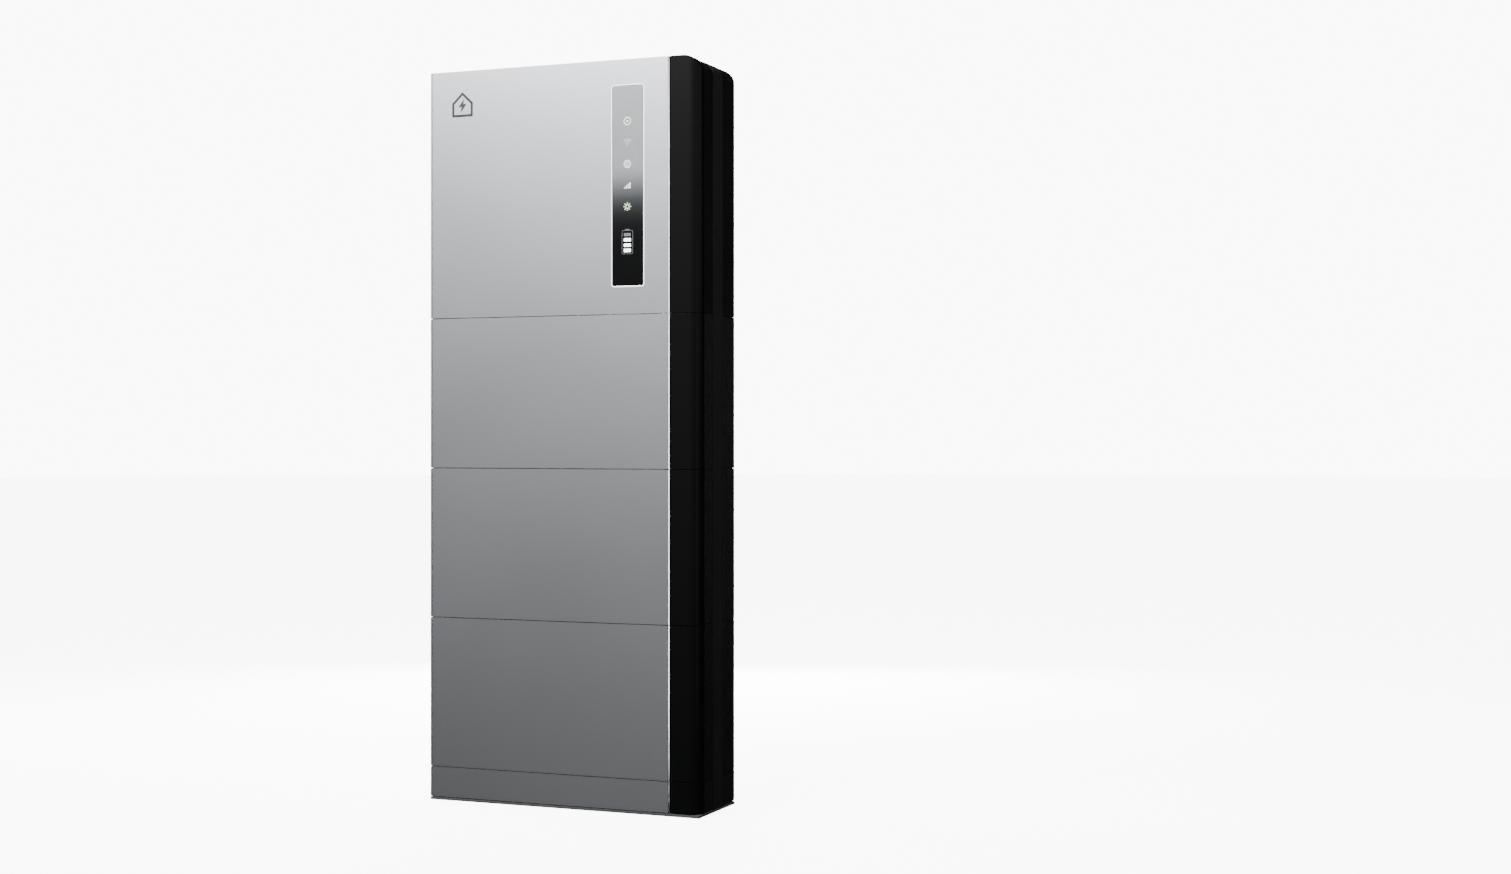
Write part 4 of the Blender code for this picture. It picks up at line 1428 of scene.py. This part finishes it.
class BATTERY_OT_breaker(bpy.types.Operator):
    """Model the battery breaker with its vents, terminal screws and rocking lever"""

    bl_idname = "battery.breaker"
    bl_label = "Breaker"

    def execute(self, context):
        body = refined("breaker_body", "breaker_case", 0.0007, 2)
        y, z = spot_of("breaker_body")
        terminals = [(y + a, z + b) for b in (-0.0335, 0.0335) for a in (-0.0135, 0.0135)]
        for terminal in terminals:
            carve(body, standing(terminal, 0.0036, 0.0150, 0.0200, 24))
        for step in range(3):
            vent = (y - 0.0262, z - 0.030 + step * 0.030)
            carve(body, standing_block(vent, 0.0012, 0.006, 0.004, 0.015))
        show(body, grey_abs(), nodes=["breaker_body"])
        screws = [screw_head(terminal, 0.0148, 0.0030) for terminal in terminals]
        show(join(screws, "breaker_screws"), zinc())
        lever = refined("breaker_lever", "breaker_rocker", 0.0006, 2)
        show(lever, nylon_black(), "breaker_lever", ["breaker_lever"])
        return {"FINISHED"}


class BATTERY_OT_power_button(bpy.types.Operator):
    """Model the sprung power button and the ring round it"""

    bl_idname = "battery.power_button"
    bl_label = "Power button"

    def execute(self, context):
        spot = spot_of("power_button")
        button = standing(spot, 0.0080, -0.0060, 0.0032, 40)
        push(button, outward, Vector((0.0004, 0.0, 0.0)), 0.0012)
        soften(button, 0.0005, 3, 30)
        shoulder = soften(standing(spot, 0.0095, -0.0060, -0.0029, 40), 0.0003, 1)
        button = join([button, shoulder], "power_button_cap")
        show(button, button_black(), "power_button", ["power_button"])
        bezel = standing(spot, 0.0112, 0.0, 0.0016, 48)
        carve(bezel, standing(spot, 0.0086, -0.002, 0.004, 48))
        soften(bezel, 0.0004, 2, 30)
        bezel.name = "power_button_bezel"
        show(bezel, zinc())
        return {"FINISHED"}


class BATTERY_OT_connectors(bpy.types.Operator):
    """Model the solar, grid and backup connectors, the capped port and the earth stud"""

    bl_idname = "battery.connectors"
    bl_label = "Connectors"

    def execute(self, context):
        solar = [f"solar_connector_{number}" for number in (1, 2, 3, 4)]
        groups = (
            (solar, 0.009, 0.026, nylon_black(), "black_plastic"),
            (["grid_connector", "backup_connector"], 0.018, 0.026, grey_abs(), "grey_plastic"),
            (["comms_cap"], 0.012, 0.016, nylon_black(), "black_plastic"),
        )
        for nodes, radius, length, material, slot in groups:
            home = Vector((0.0, *spot_of(nodes[0])))
            first = connector(spot_of(nodes[0]), radius, length)
            for node in nodes:
                shift = Vector((0.0, *spot_of(node))) - home
                show(twin(first, shift, node + "_capped"), material, nodes=[node])
            bpy.data.objects.remove(first)
        spot = spot_of("earth_stud")
        nut = soften(standing(spot, 0.0056, 0.0003, 0.0040, 6), 0.0004, 2)
        washer = soften(standing(spot, 0.0050, 0.0038, 0.0046, 32), 0.0002, 1)
        foot, pitch = 0.0044, 0.0008
        stud = standing(spot, 0.0031, foot, 0.0135, 24)
        levels = [BAY_FLOOR_X - foot - turn * pitch for turn in range(1, 12)]
        thread(stud, X, levels, levels[1::2], (BAY_FLOOR_X, *spot))
        stud = join([nut, washer, stud], "earth_stud_threaded")
        show(stud, turned_brass(), nodes=["earth_stud"])
        return {"FINISHED"}


class BATTERY_OT_data_dongle(bpy.types.Operator):
    """Model the plug-in data dongle with its grip lines and lamp"""

    bl_idname = "battery.data_dongle"
    bl_label = "Data dongle"

    def execute(self, context):
        y, z = spot = spot_of("data_dongle")
        stick = standing_block(spot, 0.013, 0.034, 0.0003, 0.020)
        bevel(stick, runs(X), 0.005, 5)
        push(stick, outward, Vector((-0.0025, 0.0, 0.0)), 0.0035)
        for step in range(4):
            groove = standing_block((y, z - 0.024 + step * 0.0035), 0.0085, 0.0007, 0.0217, 0.030)
            carve(stick, groove)
        lens_spot = (y, z + 0.0225)
        carve(stick, standing(lens_spot, 0.0019, 0.0210, 0.030, 20))
        soften(stick, 0.0006, 2, 30)
        stick.name = "data_dongle_case"
        show(stick, grey_abs(), nodes=["data_dongle"])
        lens = soften(standing(lens_spot, 0.0018, 0.0208, 0.0226, 20), 0.0005, 3)
        lens.name = "data_dongle_lamp"
        show(lens, lamp("green_status_lamp", "#3FBF62", "#38AD58", 0.6))
        return {"FINISHED"}


# ---------------------------------------------------------------- back and underside


def back_screw(x, z):
    """Pan head with a six-sided socket on the housings' back."""
    radius, height = 0.0042, 0.0024
    head = rod((x, BACK_Y + height / 2, z), radius, height, "Y", 24)
    top = BACK_Y + height
    bevel(head, lies(Y, top), 0.0012, 3)
    return carve(head, rod((x, top, z), radius * 0.5, height * 1.2, "Y", 6))


class BATTERY_OT_back_screws(bpy.types.Operator):
    """Set screws along the edges of the housings' backs"""

    bl_idname = "battery.back_screws"
    bl_label = "Back screws"

    def execute(self, context):
        across = 0.296
        rows = [(tier, 0.022) for tier in MODULES] + [("head", 0.030)]
        places = [
            (side * across, z) for tier, margin in rows for side in (-1, 1)
            for z in (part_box(tier + "_case")[0].z + margin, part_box(tier + "_case")[1].z - margin)
        ]
        low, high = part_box("base_housing")
        places += [(side * across, (low.z + high.z) / 2) for side in (-1, 1)]
        first = back_screw(0.0, 0.0)
        screws = [twin(first, (x, 0.0, z)) for x, z in places]
        bpy.data.objects.remove(first)
        show(join(screws, "back_screws"), zinc())
        return {"FINISHED"}


class BATTERY_OT_heat_sink(bpy.types.Operator):
    """Model the finned heat sink in the head's back, with grooved fins"""

    bl_idname = "battery.heat_sink"
    bl_label = "Heat sink"

    def execute(self, context):
        low, high = SINK_LOW, SINK_HIGH
        pitch, half, root = 0.0205, 0.0015, low.y + 0.006
        width = high.x - low.x
        count = int((width - 2 * half) / pitch) + 1
        margin = (width - (count - 1) * pitch) / 2
        section = [(low.x, low.y), (high.x, low.y), (high.x, root)]
        ridges = 4
        step = (high.y - root) / (2 * ridges + 1)
        for number in reversed(range(count)):
            x = low.x + margin + number * pitch
            near_side = [
                (x + half - (0.0004 if n % 2 else 0.0), root + n * step)
                for n in range(2 * ridges + 2)
            ]
            far_side = [(2 * x - a, b) for a, b in reversed(near_side)]
            section += near_side + far_side
        section.append((low.x, root))
        sink = draw(section, "Z", low.z, high.z)
        sink.name = "heat_sink_fins"
        show(sink, extruded_aluminium(), nodes=["heat_sink"], angle=20)
        return {"FINISHED"}


class BATTERY_OT_wall_brackets(bpy.types.Operator):
    """Model the two bent wall brackets with their washers and bolt heads"""

    bl_idname = "battery.wall_brackets"
    bl_label = "Wall brackets"

    def execute(self, context):
        for name in ("wall_bracket_upper", "wall_bracket_lower"):
            low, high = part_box(name)
            bracket = refined(name, name + "_bent", 0.0006, 2)
            show(bracket, zinc(), nodes=[name])
            sheet = high.y - 0.0025
            bolts = []
            for x in (-0.17, -0.08, 0.08, 0.17):
                z = high.z - 0.034 * 0.45
                washer = rod((x, sheet - 0.0007, z), 0.0085, 0.0014, "Y", 32)
                head = rod((x, sheet - 0.0036, z), 0.0062, 0.0046, "Y", 6)
                bolts += [soften(washer, 0.0003, 1), soften(head, 0.0006, 2)]
            for x in (-0.15, 0.0, 0.15):
                head = rod((x, BACK_Y + 0.0040, low.z + 0.0125), 0.0045, 0.0026, "Y", 24)
                bolts.append(soften(head, 0.0009, 3))
            show(join(bolts, name + "_bolts"), zinc())
        return {"FINISHED"}


class BATTERY_OT_feet(bpy.types.Operator):
    """Model the four levelling feet with their threads"""

    bl_idname = "battery.feet"
    bl_label = "Levelling feet"

    def execute(self, context):
        home_low, home_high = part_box(FEET[0])
        x, y = (home_low.x + home_high.x) / 2, (home_low.y + home_high.y) / 2
        bottom, top = home_low.z, home_high.z
        pad = soften(rod((x, y, bottom + 0.0025), 0.0140, 0.0050, "Z", 40), 0.0010, 3)
        nut = soften(rod((x, y, bottom + 0.0078), 0.0080, 0.0060, "Z", 6), 0.0006, 2)
        start = bottom + 0.0105
        stem = rod((x, y, (start + top) / 2), 0.0048, top - start, "Z", 16)
        pitch = 0.0010
        levels = [start + pitch * turn for turn in range(1, int((top - start) / pitch))]
        thread(stem, Z, levels, levels[::2], (x, y, 0.0))
        first = join([pad, nut, stem], "step")
        for name in FEET:
            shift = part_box(name)[0] - home_low
            show(twin(first, shift, name + "_threaded"), zinc(), name, [name])
        bpy.data.objects.remove(first)
        return {"FINISHED"}


class BATTERY_OT_inner_parts(bpy.types.Operator):
    """Give the pieces inside the stack their finishes"""

    bl_idname = "battery.inner_parts"
    bl_label = "Inner parts"

    def execute(self, context):
        finishes = {
            zinc: ["base_frame"],
            board_green: [
                "display_board", "power_board", *(tier + "_management_board" for tier in MODULES),
            ],
            cell_film: [f"{tier}_cell_row_{row}" for tier in MODULES for row in ("lower", "upper")],
            nylon_black: ["head_link_socket"] + [tier + "_power_link" for tier in MODULES],
            capacitor_sleeve: ["capacitor_bank"],
            coil_enamel: ["boost_inductor", "grid_inductor"],
        }
        for make, nodes in finishes.items():
            for name in nodes:
                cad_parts[name].material_slots[0].material = make()
        return {"FINISHED"}


# ---------------------------------------------------------------- stage


def soft_light(name, spot, aim, size, power):
    """Rectangular studio lamp that points at a place."""
    rest()
    bpy.ops.object.light_add(type="AREA", location=spot)
    light = bpy.context.object
    light.name = name
    light.data.shape = "RECTANGLE"
    light.data.size, light.data.size_y = size
    light.data.energy = power
    light.rotation_euler = (Vector(aim) - Vector(spot)).to_track_quat("-Z", "Y").to_euler()


class BATTERY_OT_stage(bpy.types.Operator):
    """Add the pale floor, the soft lights and the camera"""

    bl_idname = "battery.stage"
    bl_label = "Stage"

    def execute(self, context):
        rest()
        bpy.ops.mesh.primitive_circle_add(vertices=96, radius=40.0, fill_type="NGON")
        floor = settle(bpy.context.object, "floor")
        white = linear("#FFFFFF")
        material = bpy.data.materials.new("matt_white_floor")
        material.use_nodes = True
        shader = shader_of(material)
        shader.inputs["Base Color"].default_value = linear("#E4E4E4")
        shader.inputs["Roughness"].default_value = 0.9
        shader.inputs["Specular IOR Level"].default_value = 0.1
        shader.inputs["Emission Color"].default_value = white
        shader.inputs["Emission Strength"].default_value = 8.5
        floor.data.materials.append(material)
        floor.visible_diffuse = False
        floor.visible_glossy = False
        soft_light("key_light", (-0.62, -1.65, 3.0), (0.12, 0.2, 2.6), (2.0, 0.9), 245.0)
        soft_light("right_light", (3.4, 0.4, 1.9), (0.3, 0.0, 0.9), (1.2, 1.6), 14.0)
        soft_light("edge_light", (3.0, -1.35, 0.9), (0.26, -0.1, 0.8), (0.22, 2.4), 13.0)
        soft_light("left_light", (-2.6, 0.5, 1.9), (-0.3, 0.0, 1.0), (1.2, 1.8), 90.0)
        soft_light("back_light", (-0.9, 2.6, 1.0), (0.0, 0.1, 0.8), (2.2, 1.0), 260.0)
        world = bpy.data.worlds.new("studio")
        bpy.context.scene.world = world
        world.use_nodes = True
        tree = world.node_tree
        room = tree.nodes["Background"]
        room.inputs["Color"].default_value = white
        room.inputs["Strength"].default_value = 0.008
        seen = add_node(world, "ShaderNodeBackground", {"Color": white, "Strength": 10.0})
        rays = add_node(world, "ShaderNodeLightPath")
        mix = add_node(
            world, "ShaderNodeMixShader",
            {0: rays.outputs["Is Camera Ray"], 1: room.outputs[0], 2: seen.outputs[0]},
        )
        tree.links.new(mix.outputs[0], tree.nodes["World Output"].inputs["Surface"])
        bpy.ops.object.camera_add(
            location=(2.0827, -4.1514, 0.8024), rotation=(math.pi / 2, 0.0, math.radians(21.95)),
        )
        camera = bpy.context.object
        camera.data.lens = 50.0
        camera.data.sensor_width = 36.0
        bpy.context.scene.camera = camera
        return {"FINISHED"}


STEPS = (
    BATTERY_OT_stage, BATTERY_OT_front_panels, BATTERY_OT_corner_trims, BATTERY_OT_gaskets,
    BATTERY_OT_housings, BATTERY_OT_cover_strips, BATTERY_OT_base_plate, BATTERY_OT_display,
    BATTERY_OT_badge,
    BATTERY_OT_bay, BATTERY_OT_isolator, BATTERY_OT_breaker, BATTERY_OT_power_button,
    BATTERY_OT_connectors, BATTERY_OT_data_dongle, BATTERY_OT_back_screws, BATTERY_OT_heat_sink,
    BATTERY_OT_wall_brackets, BATTERY_OT_feet, BATTERY_OT_inner_parts,
)


class BATTERY_PT_build(bpy.types.Panel):
    """Sidebar panel that lists the steps of the build"""

    bl_idname = "BATTERY_PT_build"
    bl_label = "Home battery stack"
    bl_space_type = "VIEW_3D"
    bl_region_type = "UI"
    bl_category = "Battery"

    def draw(self, context):
        layout = self.layout
        for group in (context.scene.battery_sizes, context.scene.battery_colours):
            for name in group.__annotations__:
                layout.prop(group, name)
        for step in STEPS:
            layout.operator(step.bl_idname)


CLASSES = (BatterySizes, BatteryColours, *STEPS, BATTERY_PT_build)


def register():
    for item in CLASSES:
        bpy.utils.register_class(item)
    bpy.types.Scene.battery_sizes = bpy.props.PointerProperty(type=BatterySizes)
    bpy.types.Scene.battery_colours = bpy.props.PointerProperty(type=BatteryColours)


def unregister():
    del bpy.types.Scene.battery_colours
    del bpy.types.Scene.battery_sizes
    for item in reversed(CLASSES):
        bpy.utils.unregister_class(item)


def main():
    """Build the stack step by step."""
    register()
    for step in STEPS:
        group, name = step.bl_idname.split(".")
        getattr(getattr(bpy.ops, group), name)()
    rest()


if __name__ == "__main__":
    main()
